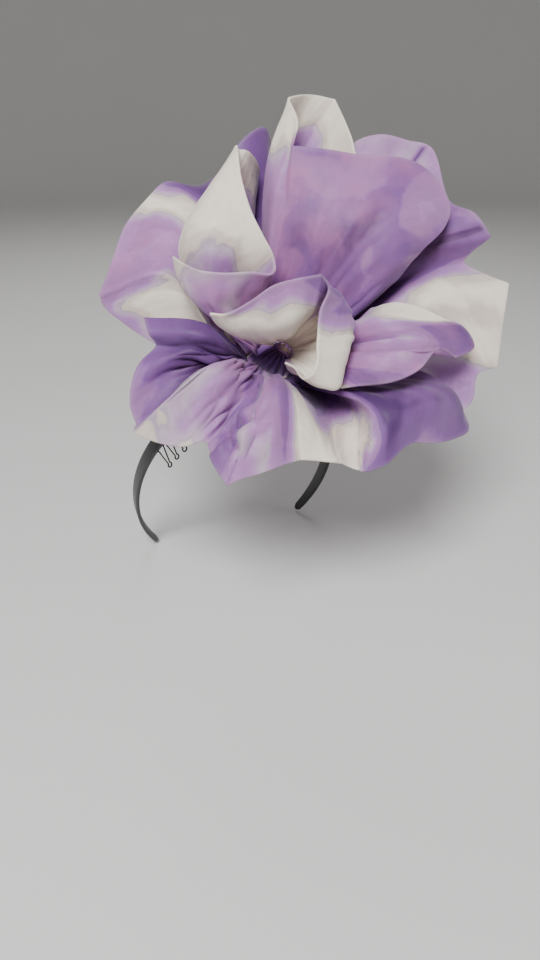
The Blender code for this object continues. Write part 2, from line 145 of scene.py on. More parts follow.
TOP_RUFFLE = [
    # fold            clock level  belly          rim          crease  dye                  blush
    ("panel_tuck",       18, 0.50, 44, 24, 1, 60, 37, 0, 0, 0.80, 0.80, 0.75, 0.60, 0.1),
    ("panel_right",      26, 0.50, 55, 41, 10, 73, 52, 3, 0, 0.75, 0.70, 0.60, 0.55, 0.4),
    ("panel_right",      34, 0.50, 56, 54, 14, 86, 65, -1, 0, 0.80, 0.76, 0.62, 0.60, 0.5),
    ("panel_right",      42, 0.50, 52, 62, 14, 89, 77, -5, 0, 0.85, 0.88, 0.62, 0.62, 0.5),
    ("panel_shoulder",   50, 0.50, 46, 66, 10, 79, 93, -8, 0, 0.90, 0.90, 0.62, 0.64, 0.5),
    ("panel_shoulder",   58, 0.50, 37, 66, 6, 65, 100, -8, 0, 0.90, 0.80, 0.60, 0.66, 0.7),
    ("panel_face",       66, 0.50, 24, 66, 4, 39, 102, -5, 0, 0.80, 0.70, 0.60, 0.70, 0.9),
    ("panel_face",       74, 0.50, 12, 67, 0, 22, 103, 0, 0, 0.76, 0.68, 0.60, 0.72, 1.0),
    ("panel_corner",     82, 0.50, 2, 67, -3, 4, 104, 2, 1, 0.66, 0.58, 0.62, 0.74, 1.0),
    ("loop_face",        89, 0.49, -5, 82, -2, 7, 118, -4, 0, 0.60, 0.60, 0.55, 0.00, 0.7),
    ("loop_apex",        95, 0.46, -10, 96, -12, 2, 132, -12, 2, 0.60, 0.66, 0.00, 0.00, 0.1),
    ("loop_back",        92, 0.38, -2, 108, -30, 16, 139, -30, 0, 0.60, 0.80, 0.10, 0.00, 0.0),
    ("loop_crease",      84, 0.34, 17, 121, -36, 29, 138, -34, 2, 0.60, 0.30, 0.00, 0.00, 0.0),
    ("loop_right",       77, 0.36, 28, 104, -28, 37, 115, -20, 0, 0.60, 0.10, 0.00, 0.00, 0.0),
    ("loop_tuck",        70, 0.40, 31, 92, -18, 39, 101, -12, 0, 0.60, 0.30, 0.00, 0.00, 0.0),
]

LEFT_RUFFLE = [
    # fold            clock level  belly          rim          crease  dye                  blush
    ("lip_turn",        200, 0.80, -48, 31, 15, -53, 45, 17, 0, 0.60, 0.40, 0.32, 0.26, 0.3),
    ("lip_corner",      187, 0.80, -51, 32, 24, -55, 46, 26, 0, 0.60, 0.42, 0.34, 0.28, 0.4),
    ("lip",             175, 0.80, -42, 25, 28, -44, 39, 34, 0, 0.60, 0.36, 0.36, 0.30, 0.9),
    ("lip",             164, 0.80, -32, 22, 27, -30, 37, 34, 0, 0.60, 0.38, 0.38, 0.36, 1.0),
    ("lip",             153, 0.80, -21, 24, 22, -17, 38, 31, 0, 0.62, 0.42, 0.42, 0.40, 0.9),
    ("lip_end",         141, 0.80, -12, 27, 17, -6, 38, 27, 0, 0.65, 0.52, 0.52, 0.50, 0.6),
    ("cone_foot",       126, 0.72, -11, 33, 10, -5, 46, 19, 0, 0.50, 0.40, 0.35, 0.25, 0.2),
    ("cone_edge",       128, 0.64, -23, 40, 15, -11, 57, 20, 0, 0.40, 0.30, 0.10, 0.05, 0.1),
    ("cone_edge",       132, 0.60, -31, 43, 20, -17, 69, 20, 0, 0.40, 0.28, 0.00, 0.00, 0.0),
    ("cone_edge",       138, 0.60, -40, 47, 22, -22, 86, 16, 0, 0.40, 0.25, 0.00, 0.00, 0.0),
    ("cone_face",       146, 0.60, -50, 49, 18, -24, 102, 8, 0, 0.40, 0.10, 0.00, 0.00, 0.0),
    ("cone_turn",       152, 0.56, -55, 51, 9, -25, 104, 2, 0, 0.40, 0.10, 0.00, 0.00, 0.0),
    ("cone_back",       148, 0.52, -47, 57, 1, -24, 104, -4, 0, 0.50, 0.22, 0.08, 0.00, 0.0),
    ("cone_back",       138, 0.50, -34, 61, -5, -20, 104, -6, 0, 0.50, 0.24, 0.10, 0.00, 0.0),
    ("cone_back",       126, 0.50, -22, 62, -11, -16, 103, -14, 0, 0.50, 0.28, 0.14, 0.05, 0.0),
    ("cone_tuck",       116, 0.50, -17, 62, -20, -13, 99, -25, 0, 0.50, 0.45, 0.40, 0.35, 0.2),
]

CENTRE_RUFFLE = [
    # fold            clock level  belly          rim          crease  dye                  blush
    ("curl_tail",       174, 1.00, -33, 12, 23, -37, 18, 33, 0, 0.05, 0.00, 0.00, 0.00, 0.0),
    ("curl_left",       162, 1.00, -26, 10, 29, -28, 18, 39, 0, 0.05, 0.00, 0.00, 0.30, 0.1),
    ("curl_left",       150, 1.00, -19, 11, 34, -17, 23, 43, 0, 0.00, 0.00, 0.10, 0.60, 0.3),
    ("curl_ridge",      134, 1.00, -8, 11, 37, -6, 30, 46, 0, 0.00, 0.00, 0.36, 0.52, 0.4),
    ("curl_ridge",      114, 1.00, 3, 14, 39, 5, 33, 49, 0, 0.00, 0.00, 0.40, 0.56, 0.4),
    ("curl_peak",        92, 1.00, 14, 20, 40, 17, 35, 50, 2, 0.00, 0.10, 0.60, 0.75, 0.1),
    ("roll_top",         70, 1.00, 27, 27, 34, 21, 29, 47, 0, 0.00, 0.60, 0.70, 0.70, 0.2),
    ("roll_right",       48, 1.00, 33, 19, 30, 17, 18, 46, 0, 0.00, 0.65, 0.65, 0.50, 0.1),
    ("roll_right",       24, 1.00, 34, 7, 30, 16, 5, 47, 0, 0.00, 0.00, 0.00, 0.00, 0.0),
    ("roll_right",        0, 1.00, 31, -7, 34, 16, -5, 49, 0, 0.00, 0.00, 0.00, 0.00, 0.0),
    ("roll_point",      -24, 1.00, 27, -19, 38, 14, -11, 49, 0, 0.00, 0.00, 0.00, 0.05, 0.0),
    ("roll_low",        -45, 1.00, 19, -18, 38, 10, -13, 46, 0, 0.05, 0.00, 0.05, 0.05, 0.0),
    ("roll_low",        -62, 1.00, 11, -14, 32, 6, -9, 38, 0, 0.30, 0.10, 0.05, 0.05, 0.0),
    ("roll_tuck",       -80, 1.00, 3, -9, 20, 1, -6, 26, 0, 0.50, 0.30, 0.10, 0.10, 0.0),
]

RIGHT_RUFFLE = [
    # fold            clock level  belly          rim          crease  dye                  blush
    ("shell_tuck",       40, 0.90, 36, 13, 6, 47, 22, 6, 0, 0.50, 0.50, 0.40, 0.30, 0.4),
    ("shell_top",        32, 0.90, 43, 16, 16, 60, 24, 14, 0, 0.55, 0.55, 0.20, 0.00, 0.4),
    ("shell_top",        24, 0.90, 51, 14, 24, 84, 16, 20, 0, 0.60, 0.50, 0.00, 0.00, 0.6),
    ("shell_hook",       18, 0.90, 58, 11, 27, 96, 11, 15, 0, 0.60, 0.50, 0.65, 0.75, 0.5),
    ("shell_hook",       12, 0.90, 64, 6, 26, 102, 2, 10, 0, 0.60, 0.50, 0.75, 0.85, 0.3),
    ("shell_hook",        6, 0.90, 63, 2, 32, 92, -3, 17, 0, 0.60, 0.42, 0.50, 0.72, 0.7),
    ("shell_face",       -1, 0.90, 57, 0, 36, 79, 2, 29, 0, 0.62, 0.38, 0.38, 0.50, 0.9),
    ("shell_face",       -9, 0.90, 49, -6, 36, 68, -9, 35, 0, 0.62, 0.38, 0.42, 0.62, 0.9),
    ("shell_low",       -17, 0.90, 41, -10, 34, 54, -15, 38, 0, 0.65, 0.50, 0.65, 0.75, 0.6),
    ("shell_low",       -26, 0.90, 34, -12, 28, 40, -17, 35, 0, 0.70, 0.60, 0.75, 0.75, 0.3),
    ("shell_point",     -36, 0.90, 26, -13, 17, 30, -19, 26, 0, 0.80, 0.75, 0.30, 0.00, 0.1),
]

FRONT_RUFFLE = [
    # fold            clock level  belly          rim          crease  dye                  blush
    ("bulge",           176, 0.60, -44, 14, 12, -74, 17, 8, 0, 0.80, 0.80, 0.80, 0.70, 0.0),
    ("bulge",           182, 0.60, -44, 8, 18, -71, 9, 14, 0, 0.85, 0.80, 0.80, 0.70, 0.0),
    ("bulge_valley",    188, 0.60, -46, 0, 14, -68, 3, 8, 0, 0.95, 0.90, 0.80, 0.70, 0.0),
    ("bulge_low",       194, 0.62, -52, -2, 16, -78, -9, 14, 0, 0.95, 0.88, 0.75, 0.62, 0.1),
    ("bulge_low",       200, 0.62, -59, -10, 12, -82, -27, 16, 0, 0.95, 0.85, 0.65, 0.55, 0.2),
    ("bulge_tuck",      206, 0.64, -47, -17, 12, -79, -39, 16, 2, 1.00, 1.00, 0.90, 0.65, 0.1),
    ("crest",           212, 0.73, -41, -8, 42, -77, -41, 35, 2, 0.75, 0.46, 0.40, 0.34, 0.6),
    ("left_petal",      220, 0.74, -31, -14, 38, -63, -46, 38, 0, 0.75, 0.56, 0.34, 0.28, 0.4),
    ("left_petal",      227, 0.74, -24, -19, 32, -50, -47, 42, 0, 0.80, 0.60, 0.32, 0.22, 0.4),
    # Notch and corner: violet dye, partly deepened as painted shade in the fold valley.
    ("left_notch",      233, 0.74, -18, -21, 28, -39, -45, 40, 0, 0.90, 0.80, 0.58, 0.30, 0.4),
    ("corner",          238, 0.74, -15, -25, 36, -36, -53, 50, 0, 0.95, 1.00, 1.00, 0.85, 0.3),
    ("corner_tip",      244, 0.74, -11, -19, 50, -28, -64, 58, 2, 0.70, 0.50, 0.42, 0.60, 0.5),
    ("middle_petal",    252, 0.74, -8, -20, 53, -22, -61, 58, 0, 0.75, 0.60, 0.48, 0.50, 0.7),
    ("middle_petal",    259, 0.74, -4, -20, 53, -11, -58, 56, 0, 0.80, 0.62, 0.38, 0.34, 0.6),
    ("middle_petal",    266, 0.74, 0, -20, 50, 0, -54, 54, 0, 0.80, 0.82, 0.80, 0.70, 0.3),
    ("middle_petal",    272, 0.74, 4, -22, 48, 8, -52, 52, 2, 0.60, 0.12, 0.04, 0.08, 0.0),
    ("pocket_lip",      279, 0.72, 9, -25, 42, 17, -53, 50, 0, 0.60, 0.10, 0.00, 0.00, 0.0),
    # Pocket lip and pocket: the deep dye at root and belly is painted shade in the hollow of the pocket.
    ("pocket_lip",      286, 0.72, 15, -30, 28, 24, -54, 50, 0, 1.00, 0.85, 0.15, 0.00, 0.0),
    ("pocket",          294, 0.68, 23, -26, 4, 29, -55, 46, 0, 1.00, 0.90, 0.10, 0.12, 0.0),
    ("pocket",          306, 0.68, 34, -27, 4, 36, -58, 46, 0, 0.90, 0.40, 0.06, 0.06, 0.0),
    ("roll_edge",       318, 0.63, 43, -30, 40, 42, -59, 47, 2, 0.95, 0.45, 0.15, 0.65, 0.0),
    ("roll",            324, 0.60, 50, -30, 43, 51, -56, 44, 0, 0.95, 0.95, 0.78, 0.75, 0.0),
    ("roll",            329, 0.60, 59, -28, 42, 59, -49, 41, 0, 0.95, 0.98, 0.72, 0.72, 0.0),
    ("roll",            333, 0.60, 68, -26, 37, 66, -46, 36, 0, 0.95, 0.92, 0.70, 0.68, 0.1),
    ("roll",            337, 0.60, 78, -24, 31, 78, -47, 30, 0, 0.90, 0.88, 0.70, 0.68, 0.1),
    ("roll_end",        341, 0.60, 86, -23, 22, 90, -46, 22, 0, 0.90, 0.82, 0.75, 0.70, 0.1),
    ("roll_end",        345, 0.60, 90, -20, 12, 100, -42, 14, 0, 0.85, 0.80, 0.80, 0.65, 0.1),
    ("roll_back",       351, 0.60, 82, -14, 4, 98, -31, 6, 0, 0.80, 0.70, 0.60, 0.55, 0.1),
    ("roll_tuck",       360, 0.60, 67, -9, 0, 82, -20, 0, 0, 0.60, 0.50, 0.45, 0.40, 0.1),
]

RUFFLES = {
    "outer_ruffle": OUTER_RUFFLE,
    "top_ruffle": TOP_RUFFLE,
    "left_ruffle": LEFT_RUFFLE,
    "centre_ruffle": CENTRE_RUFFLE,
    "right_ruffle": RIGHT_RUFFLE,
    "front_ruffle": FRONT_RUFFLE,
}

# Seams that join two lengths of cloth. Place counts sections along the ruffle, and start and finish are
# shares of the way from the root to the rim.
Seam = namedtuple("Seam", "ruffle place start finish")
SEAMS = [
    Seam("outer_ruffle", 22.6, 0.62, 0.99),
    Seam("outer_ruffle", 19.7, 0.66, 0.99),
]
SEAM_WIDTH_IN_SECTIONS = 0.11
SEAM_DEPTH = 0.7 * MM
SEAM_DYE = 0.6
THREAD_COLOUR = (0.10, 0.05, 0.12)

# Crumpled spots. Place counts sections along the ruffle, share goes from root to rim, and reach and height
# are in millimetres.
Crumple = namedtuple("Crumple", "ruffle place share reach height")
CRUMPLES = [
    Crumple("front_ruffle", 9.8, 0.82, 13, 5.5),
    Crumple("front_ruffle", 10.7, 0.74, 10, 4.5),
    Crumple("front_ruffle", 4.6, 0.32, 16, 3.6),
    Crumple("front_ruffle", 7.0, 0.26, 13, 2.4),
    Crumple("centre_ruffle", 7.5, 0.30, 13, 4.0),
    Crumple("left_ruffle", 3.0, 0.35, 12, 1.6),
]

# Kinds of folds, with their spacing along the ruffle and outwards from root to rim. Seeds keep the kinds
# apart, and the seed step the ruffles.
Folds = namedtuple("Folds", "along outward seed")
LONG_FOLDS = Folds(13 * MM, 70 * MM, 0)
WIDE_FOLDS = Folds(26 * MM, 40 * MM, 7)
GATHER_DRIFT = Folds(18 * MM, 60 * MM, 3)
FINE_CRUMPLES = Folds(4.5 * MM, 8 * MM, 11)
SHARP_CREASES = Folds(6 * MM, 17 * MM, 19)
SEED_STEP = 17.3

# Height of the wide folds as a share of the long ones, and how the gathers stray from side to side
WIDE_FOLD_HEIGHT = 0.8
DRIFT_TURN = 3.0
DRIFT_STRETCH = 0.3

# Where folds start, rise and fade, as shares of the way from root to rim
ROOT_CLEAR = 0.12
SOFT_RISE = 0.25
GATHER_END = 0.55
GATHER_FADE = 0.42
PRESS_START = 0.3
PRESS_RISE = 0.2

# How much calmer the soft folds are at the rim, and how wide a pressed line is
RIM_CALM = 0.45
PRESS_WIDTH_IN_SECTIONS = 0.12

# Rows of points for each section, points from root to belly and from belly to rim, and steps round the rim
STEPS_ALONG = 10
STEPS_ACROSS = 20
RIM_STEPS = 3

# Width of the soft roll at the rim, and the share of its thickness that the cloth has at the root, with how
# fast it grows from there
RIM_ROLL_REACH = 1.1 * MM
ROOT_THICKNESS = 0.6
ROOT_GROWTH = 1.6

# Shares of the way from root to rim where the table's four dyes lie
DYE_SHARES = (0.05, 0.5, 0.78, 1.0)

# The cloth's colour at each strength of dye, with tide lines where a stain dried
DyeStop = namedtuple("DyeStop", "strength colour gain")
DYE_STOPS = [
    DyeStop(0.00, "ivory", 1.0),
    DyeStop(0.10, "ivory", 0.97),
    # Cream: a darker beige on the undyed cloth, partly tone that varies at random, partly painted shade
    DyeStop(0.18, "cream", 1.0),
    DyeStop(0.237, "cream", 0.95),
    DyeStop(0.26, "stain", 0.92),
    DyeStop(0.29, "stain", 1.10),
    DyeStop(0.40, "lilac", 1.18),
    DyeStop(0.452, "lilac", 1.05),
    DyeStop(0.462, "lilac", 1.20),
    DyeStop(0.478, "lilac", 1.0),
    DyeStop(0.61, "lilac", 0.90),
    DyeStop(0.65, "violet", 1.28),
    DyeStop(0.662, "violet", 1.08),
    DyeStop(0.82, "violet", 0.95),
    DyeStop(1.00, "deep_violet", 1.0),
]

# How far the dye wanders and mottles, and its pink clouds. A pair is where an effect starts and how
# steeply it grows.
DYE_WANDER = 0.60
DYE_MOTTLE = 0.10
DYE_TAKEN = (0.27, 6.0)
CLOUD_SPREAD = (0.28, 2.2)
PINK_SHARE = 0.75

# Streaks along the threads, the painted highlight that makes the folded rim paler, and how far apart the
# ruffles' patterns lie
STREAK_SCALE = (1.0, 0.35, 1.0)
STREAK_TINT = (1.0, 0.985, 1.0)
STREAK_SHADE = 0.3
STREAK_BLUE = 0.7
RIM_PAINTED_HIGHLIGHT = 0.07
PLACE_STEP = (0.37, 0.53, 0)

# Noise patterns, with their scale to the metre
Pattern = namedtuple("Pattern", "scale detail roughness distortion", defaults=(0.5, 0.0))
BROAD_STAINS = Pattern(26.0, 3.0, 0.55, 0.6)
MOTTLE = Pattern(120.0, 4.0, 0.6)
STREAKS = Pattern(190.0, 3.0, 0.6, 0.4)
PINK_CLOUDS = Pattern(55.0, 2.0, 0.5, 0.5)
CLOTH_GRAIN = Pattern(420.0, 3.0, 0.55)
PLASTIC_GRAIN = Pattern(2600.0, 3.0, 0.6)
PLASTIC_WEAR = Pattern(240.0, 4.0, 0.6)
WIRE_SCUFFS = Pattern(900.0, 4.0, 0.65)
THREAD_TWIST = Pattern(2400.0, 2.0)
FLOOR_TONE = Pattern(3.0, 2.0)
NOISE_MIDDLE = 0.5

# The weave: the phase that a wave pattern gains in a metre at a scale of 1, and how uneven its threads are
WAVE_PHASE = 20
THREAD_WOBBLE = 0.4

# Relief of each surface: strength and depth
WEAVE_RELIEF = (0.35, 0.10 * MM)
CLOTH_RELIEF = (0.30, 0.45 * MM)
PLASTIC_RELIEF = (0.25, 0.08 * MM)
WIRE_RELIEF = (0.2, 0.03 * MM)
THREAD_RELIEF = (0.4, 0.05 * MM)

# Roughness of each surface, and what its patterns add
CLOTH_ROUGHNESS = 0.56
WEAVE_ROUGHNESS = 0.14
STREAK_ROUGHNESS = -0.08
PLASTIC_ROUGHNESS = (0.34, 0.22)
WIRE_ROUGHNESS = (0.28, 0.25)

# Levels on each finish's own sockets, and what wear shows
CLOTH_FINISH = {
    "Sheen Weight": 0.18,
    "Sheen Roughness": 0.45,
    "Specular IOR Level": 0.35,
    "Subsurface Weight": 0.12,
    "Subsurface Scale": 2.0 * MM,
}
PLASTIC_FINISH = {"Coat Weight": 0.15, "Coat Roughness": 0.3}
WIRE_FINISH = {"Metallic": 0.4}
THREAD_FINISH = {"Roughness": 0.6}
FLOOR_FINISH = {"Roughness": 0.85}
WORN_PLASTIC = (0.060, 0.058, 0.060)
WORN_PLASTIC_SHARE = 0.7
WORN_WIRE = (0.08, 0.078, 0.075)
WORN_WIRE_SPREAD = (0.62, 4.0)
THREAD_SHADE = 0.7
FLOOR_SHADE = 0.97

# Places of the inputs and of the output in a mix of colours
MIX_SHARE = 0
MIX_COLOURS = (6, 7)
MIX_RESULT = 2


# Settings

def number_setting(name, description, default, unit="NONE"):
    """A number that a user may change."""
    return bpy.props.FloatProperty(name=name, description=description, default=default, unit=unit)


def length_setting(name, description, default):
    """A length that a user may change."""
    return number_setting(name, description, default, "LENGTH")


def colour_setting(name, description, default):
    """A colour that a user may change."""
    return bpy.props.FloatVectorProperty(
        name=name, description=description, default=default, subtype="COLOR", size=3)


class RuffleCloth(bpy.types.PropertyGroup):
    """Sizes and colours of the cloth."""
    thickness: length_setting("Thickness", "Two layers of cloth, folded at the rim", 1.2 * MM)
    rim_roll: length_setting("Rim roll", "Thickness of the soft fold along the rim", 1.45 * MM)
    fold_height: length_setting("Fold height", "Height of the long soft folds", 1.5 * MM)
    gather_height: length_setting("Gather height", "Height of the gathers near the core", 0.9 * MM)
    gather_pitch: length_setting("Gather pitch", "Spacing of the gathers along the belly", 13 * MM)
    press_height: length_setting("Press height", "Height of the pressed fold lines", 0.6 * MM)
    crumple_height: length_setting("Crumple height", "Height of the fine crumples", 0.35 * MM)
    # Painted shade: the dye is deepened in the hollows of the long folds, where shade falls.
    painted_hollow_shade: number_setting("Painted hollow shade", "Dye deepened in the hollows of the folds as painted shade", 0.22)
    weave_pitch: length_setting("Weave pitch", "Spacing of the threads", 0.55 * MM)
    ivory: colour_setting("Ivory", "Undyed cloth", (0.83, 0.765, 0.65))
    # Cream: darker beige on the undyed cloth, partly tone that varies at random, partly painted shade on
    # the ivory.
    cream: colour_setting("Cream", "Undyed cloth, worn darker", (0.62, 0.54, 0.47))
    stain: colour_setting("Stain", "Edge of a dye stain", (0.43, 0.34, 0.43))
    lilac: colour_setting("Lilac", "Light dye", (0.33, 0.165, 0.39))
    violet: colour_setting("Violet", "Full dye", (0.175, 0.074, 0.26))
    deep_violet: colour_setting("Deep violet", "Heaviest dye", (0.072, 0.025, 0.12))
    blush: colour_setting("Blush", "Pink in the dye", (0.44, 0.17, 0.36))


class RuffleBand(bpy.types.PropertyGroup):
    """Looks of the band."""
    colour: colour_setting("Colour", "Band plastic", (0.012, 0.012, 0.013))
    edge_radius: length_setting("Edge radius", "Rounding of the band's edges", 0.9 * MM)


class RuffleComb(bpy.types.PropertyGroup):
    """Sizes of the wire comb."""
    teeth: bpy.props.IntProperty(name="Teeth", description="Number of teeth", default=6)
    pitch: length_setting("Pitch", "Spacing of the teeth", 7.0 * MM)
    tooth_length: length_setting("Tooth length", "From the band to the eye", 14.0 * MM)
    eye_radius: length_setting("Eye radius", "Of the round end of a tooth", 1.5 * MM)
    wire_radius: length_setting("Wire radius", "Half the wire's thickness", 0.45 * MM)
    colour: colour_setting("Colour", "Wire lacquer", (0.010, 0.010, 0.011))


class RuffleStage(bpy.types.PropertyGroup):
    """Floor, light and camera."""
    floor_colour: colour_setting("Floor", "Floor and backdrop", (0.72, 0.71, 0.70))
    key_power: number_setting("Key light", "Power of the key light", 28.0, "POWER")
    fill_power: number_setting("Fill light", "Power of the fill light", 2.4, "POWER")
    sky: number_setting("Sky", "Strength of the surrounding light", 0.17)


# Materials

def new_material(name):
    """A material, its node tree and its shader."""
    material = bpy.data.materials.new(name)
    material.use_nodes = True
    tree = material.node_tree
    return material, tree, tree.nodes["Principled BSDF"]


def feed(tree, socket, value):
    """Gives an input its value, or links it to the output that feeds it."""
    if isinstance(value, bpy.types.NodeSocket):
        tree.links.new(value, socket)
    else:
        socket.default_value = value


def add_node(tree, kind, settings=None, **inputs):
    """A node with its settings and its named inputs."""
    node = tree.nodes.new(kind)
    for key, value in (settings or {}).items():
        setattr(node, key, value)
    for key, value in inputs.items():
        feed(tree, node.inputs[key], value)
    return node


def maths(tree, operation, first, second, clamp=False):
    """The result of a Math node."""
    node = add_node(tree, "ShaderNodeMath", {"operation": operation, "use_clamp": clamp})
    feed(tree, node.inputs[0], first)
    feed(tree, node.inputs[1], second)
    return node.outputs[0]


def stretch(tree, value, start, gain, clamp=False):
    """How far a value is above a start, times a gain."""
    return maths(tree, "MULTIPLY", maths(tree, "SUBTRACT", value, start), gain, clamp)


def vary(tree, base, pattern, gain):
    """A base value, raised where a pattern is strong."""
    return maths(tree, "ADD", base, maths(tree, "MULTIPLY", pattern, gain))


def attribute(tree, name):
    """A number stored on the mesh."""
    return add_node(tree, "ShaderNodeAttribute", {"attribute_name": name}).outputs["Fac"]


def object_place(tree):
    """A point's place in the object."""
    return add_node(tree, "ShaderNodeTexCoord").outputs["Object"]


def mix_colour(tree, share, first, second, blend="MIX"):
    """A mix of two colours, each an output or a plain colour."""
    node = add_node(tree, "ShaderNodeMix", {"data_type": "RGBA", "blend_type": blend})
    feed(tree, node.inputs[MIX_SHARE], share)
    for index, value in zip(MIX_COLOURS, (first, second)):
        plain = not isinstance(value, bpy.types.NodeSocket)
        feed(tree, node.inputs[index], (*value, 1) if plain else value)
    return node.outputs[MIX_RESULT]


def spots(tree, vector, pattern):
    """A noise pattern, from 0 to 1."""
    return add_node(
        tree, "ShaderNodeTexNoise", None, Vector=vector, Scale=pattern.scale, Detail=pattern.detail,
        Roughness=pattern.roughness, Distortion=pattern.distortion).outputs["Fac"]


def bump(tree, height, relief, **below):
    """The surface normal with a height pattern on it, over the normal below."""
    strength, depth = relief
    return add_node(tree, "ShaderNodeBump", None, Height=height, Strength=strength, Distance=depth,
                    **below).outputs[0]


def dress(tree, shader, looks):
    """Feeds a shader's own sockets."""
    for socket, value in looks.items():
        feed(tree, shader.inputs[socket], value)


def dye_strength(tree, place):
    """The strength of the dye: the mesh's own, which carries painted shade in the fold hollows, with
    wandering edges and a mottle.
    """
    wander = stretch(tree, spots(tree, place, BROAD_STAINS), NOISE_MIDDLE, DYE_WANDER)
    mottle = stretch(tree, spots(tree, place, MOTTLE), NOISE_MIDDLE, DYE_MOTTLE)
    return maths(tree, "ADD", attribute(tree, "dye"), maths(tree, "ADD", wander, mottle), clamp=True)


def dye_ramp(tree, strength, cloth):
    """The cloth's colour for a strength of dye."""
    ramp = add_node(tree, "ShaderNodeValToRGB", None, Fac=strength)
    points = ramp.color_ramp.elements
    while len(points) < len(DYE_STOPS):
        points.new(0.5)
    for point, stop in zip(points, DYE_STOPS):
        point.position = stop.strength
        point.color = (*(min(1, part * stop.gain) for part in getattr(cloth, stop.colour)), 1)
    return ramp.outputs["Color"]


def dyed_colour(tree, place, cloth):
    """Colour of the dye, with pink clouds where it has taken."""
    strength = dye_strength(tree, place)
    taken = stretch(tree, strength, *DYE_TAKEN, clamp=True)
    clouds = stretch(tree, spots(tree, place, PINK_CLOUDS), *CLOUD_SPREAD, clamp=True)
    pink = maths(tree, "MULTIPLY", attribute(tree, "blush"), clouds)
    share = maths(tree, "MULTIPLY", pink, maths(tree, "MULTIPLY", taken, PINK_SHARE))
    return mix_colour(tree, share, dye_ramp(tree, strength, cloth), tuple(cloth.blush))


def streaked_and_highlit_colour(tree, dyed, streak, cloth):
    """The dye's colour with streaks along the threads, and a painted highlight that makes the folded rim
    paler.
    """
    brushed = stretch(tree, streak, NOISE_MIDDLE, STREAK_SHADE)
    red, green, blue = STREAK_TINT
    tint = add_node(tree, "ShaderNodeCombineColor", None, Red=maths(tree, "ADD", red, brushed),
                    Green=maths(tree, "ADD", green, brushed), Blue=vary(tree, blue, brushed, STREAK_BLUE))
    streaked = mix_colour(tree, 1.0, dyed, tint.outputs[0], "MULTIPLY")
    # Painted highlight: the folded rim is mixed towards ivory.
    rim = maths(tree, "MULTIPLY", attribute(tree, "edge"), RIM_PAINTED_HIGHLIGHT)
    return mix_colour(tree, rim, streaked, tuple(cloth.ivory))


def weave_height(tree, flat, pitch):
    """Height of the threads, which run both ways."""
    scale = 2 * math.pi / (WAVE_PHASE * pitch)
    warp, weft = (
        add_node(tree, "ShaderNodeTexWave", {"bands_direction": way}, Vector=flat, Scale=scale,
                 Distortion=THREAD_WOBBLE, Detail=1.0).outputs["Fac"]
        for way in "XY")
    return maths(tree, "MULTIPLY", warp, weft)


def cloth_material(name, cloth, seed):
    """Soft satin dyed in patches, with a fine weave and a painted highlight on the folded edges."""
    material, tree, shader = new_material(name)
    flat = add_node(tree, "ShaderNodeUVMap", {"uv_map": "cloth"}).outputs["UV"]
    start = [seed * step for step in PLACE_STEP]
    place = add_node(tree, "ShaderNodeMapping", None, Vector=flat, Location=start).outputs[0]
    drawn = add_node(tree, "ShaderNodeMapping", None, Vector=place, Scale=STREAK_SCALE).outputs[0]
    streak = spots(tree, drawn, STREAKS)
    weave = weave_height(tree, flat, cloth.weave_pitch)
    threads = bump(tree, weave, WEAVE_RELIEF)
    rough = vary(tree, CLOTH_ROUGHNESS, weave, WEAVE_ROUGHNESS)
    dress(tree, shader, CLOTH_FINISH | {
        "Base Color": streaked_and_highlit_colour(tree, dyed_colour(tree, place, cloth), streak, cloth),
        "Roughness": vary(tree, rough, streak, STREAK_ROUGHNESS),
        "Normal": bump(tree, spots(tree, place, CLOTH_GRAIN), CLOTH_RELIEF, Normal=threads),
    })
    return material


def band_material(name, plastic):
    """Black moulded plastic with a faint grain and lighter wear."""
    material, tree, shader = new_material(name)
    place = object_place(tree)
    grain = spots(tree, place, PLASTIC_GRAIN)
    wear = maths(tree, "MULTIPLY", spots(tree, place, PLASTIC_WEAR), WORN_PLASTIC_SHARE)
    smooth, grainy = PLASTIC_ROUGHNESS
    dress(tree, shader, PLASTIC_FINISH | {
        "Base Color": mix_colour(tree, wear, tuple(plastic), WORN_PLASTIC),
        "Roughness": vary(tree, smooth, grain, grainy),
        "Normal": bump(tree, grain, PLASTIC_RELIEF),
    })
    return material


def wire_material(name, lacquer):
    """Black lacquered wire with scuffs that show the metal a little."""
    material, tree, shader = new_material(name)
    scuff = spots(tree, object_place(tree), WIRE_SCUFFS)
    worn = stretch(tree, scuff, *WORN_WIRE_SPREAD, clamp=True)
    smooth, scuffed = WIRE_ROUGHNESS
    dress(tree, shader, WIRE_FINISH | {
        "Base Color": mix_colour(tree, worn, tuple(lacquer), WORN_WIRE),
        "Roughness": vary(tree, smooth, scuff, scuffed),
        "Normal": bump(tree, scuff, WIRE_RELIEF),
    })
    return material


def thread_material(name, thread):
    """Twisted sewing thread."""
    material, tree, shader = new_material(name)
    twist = spots(tree, object_place(tree), THREAD_TWIST)
    dark = tuple(part * THREAD_SHADE for part in thread)
    dress(tree, shader, THREAD_FINISH | {
        "Base Color": mix_colour(tree, twist, dark, thread),
        "Normal": bump(tree, twist, THREAD_RELIEF),
    })
    return material


def floor_material(name, paint):
    """Plain pale paint, a little uneven in tone."""
    material, tree, shader = new_material(name)
    tone = spots(tree, object_place(tree), FLOOR_TONE)
    dark = tuple(part * FLOOR_SHADE for part in paint)
    dress(tree, shader, FLOOR_FINISH | {"Base Color": mix_colour(tree, tone, dark, paint)})
    return material


# Shapes

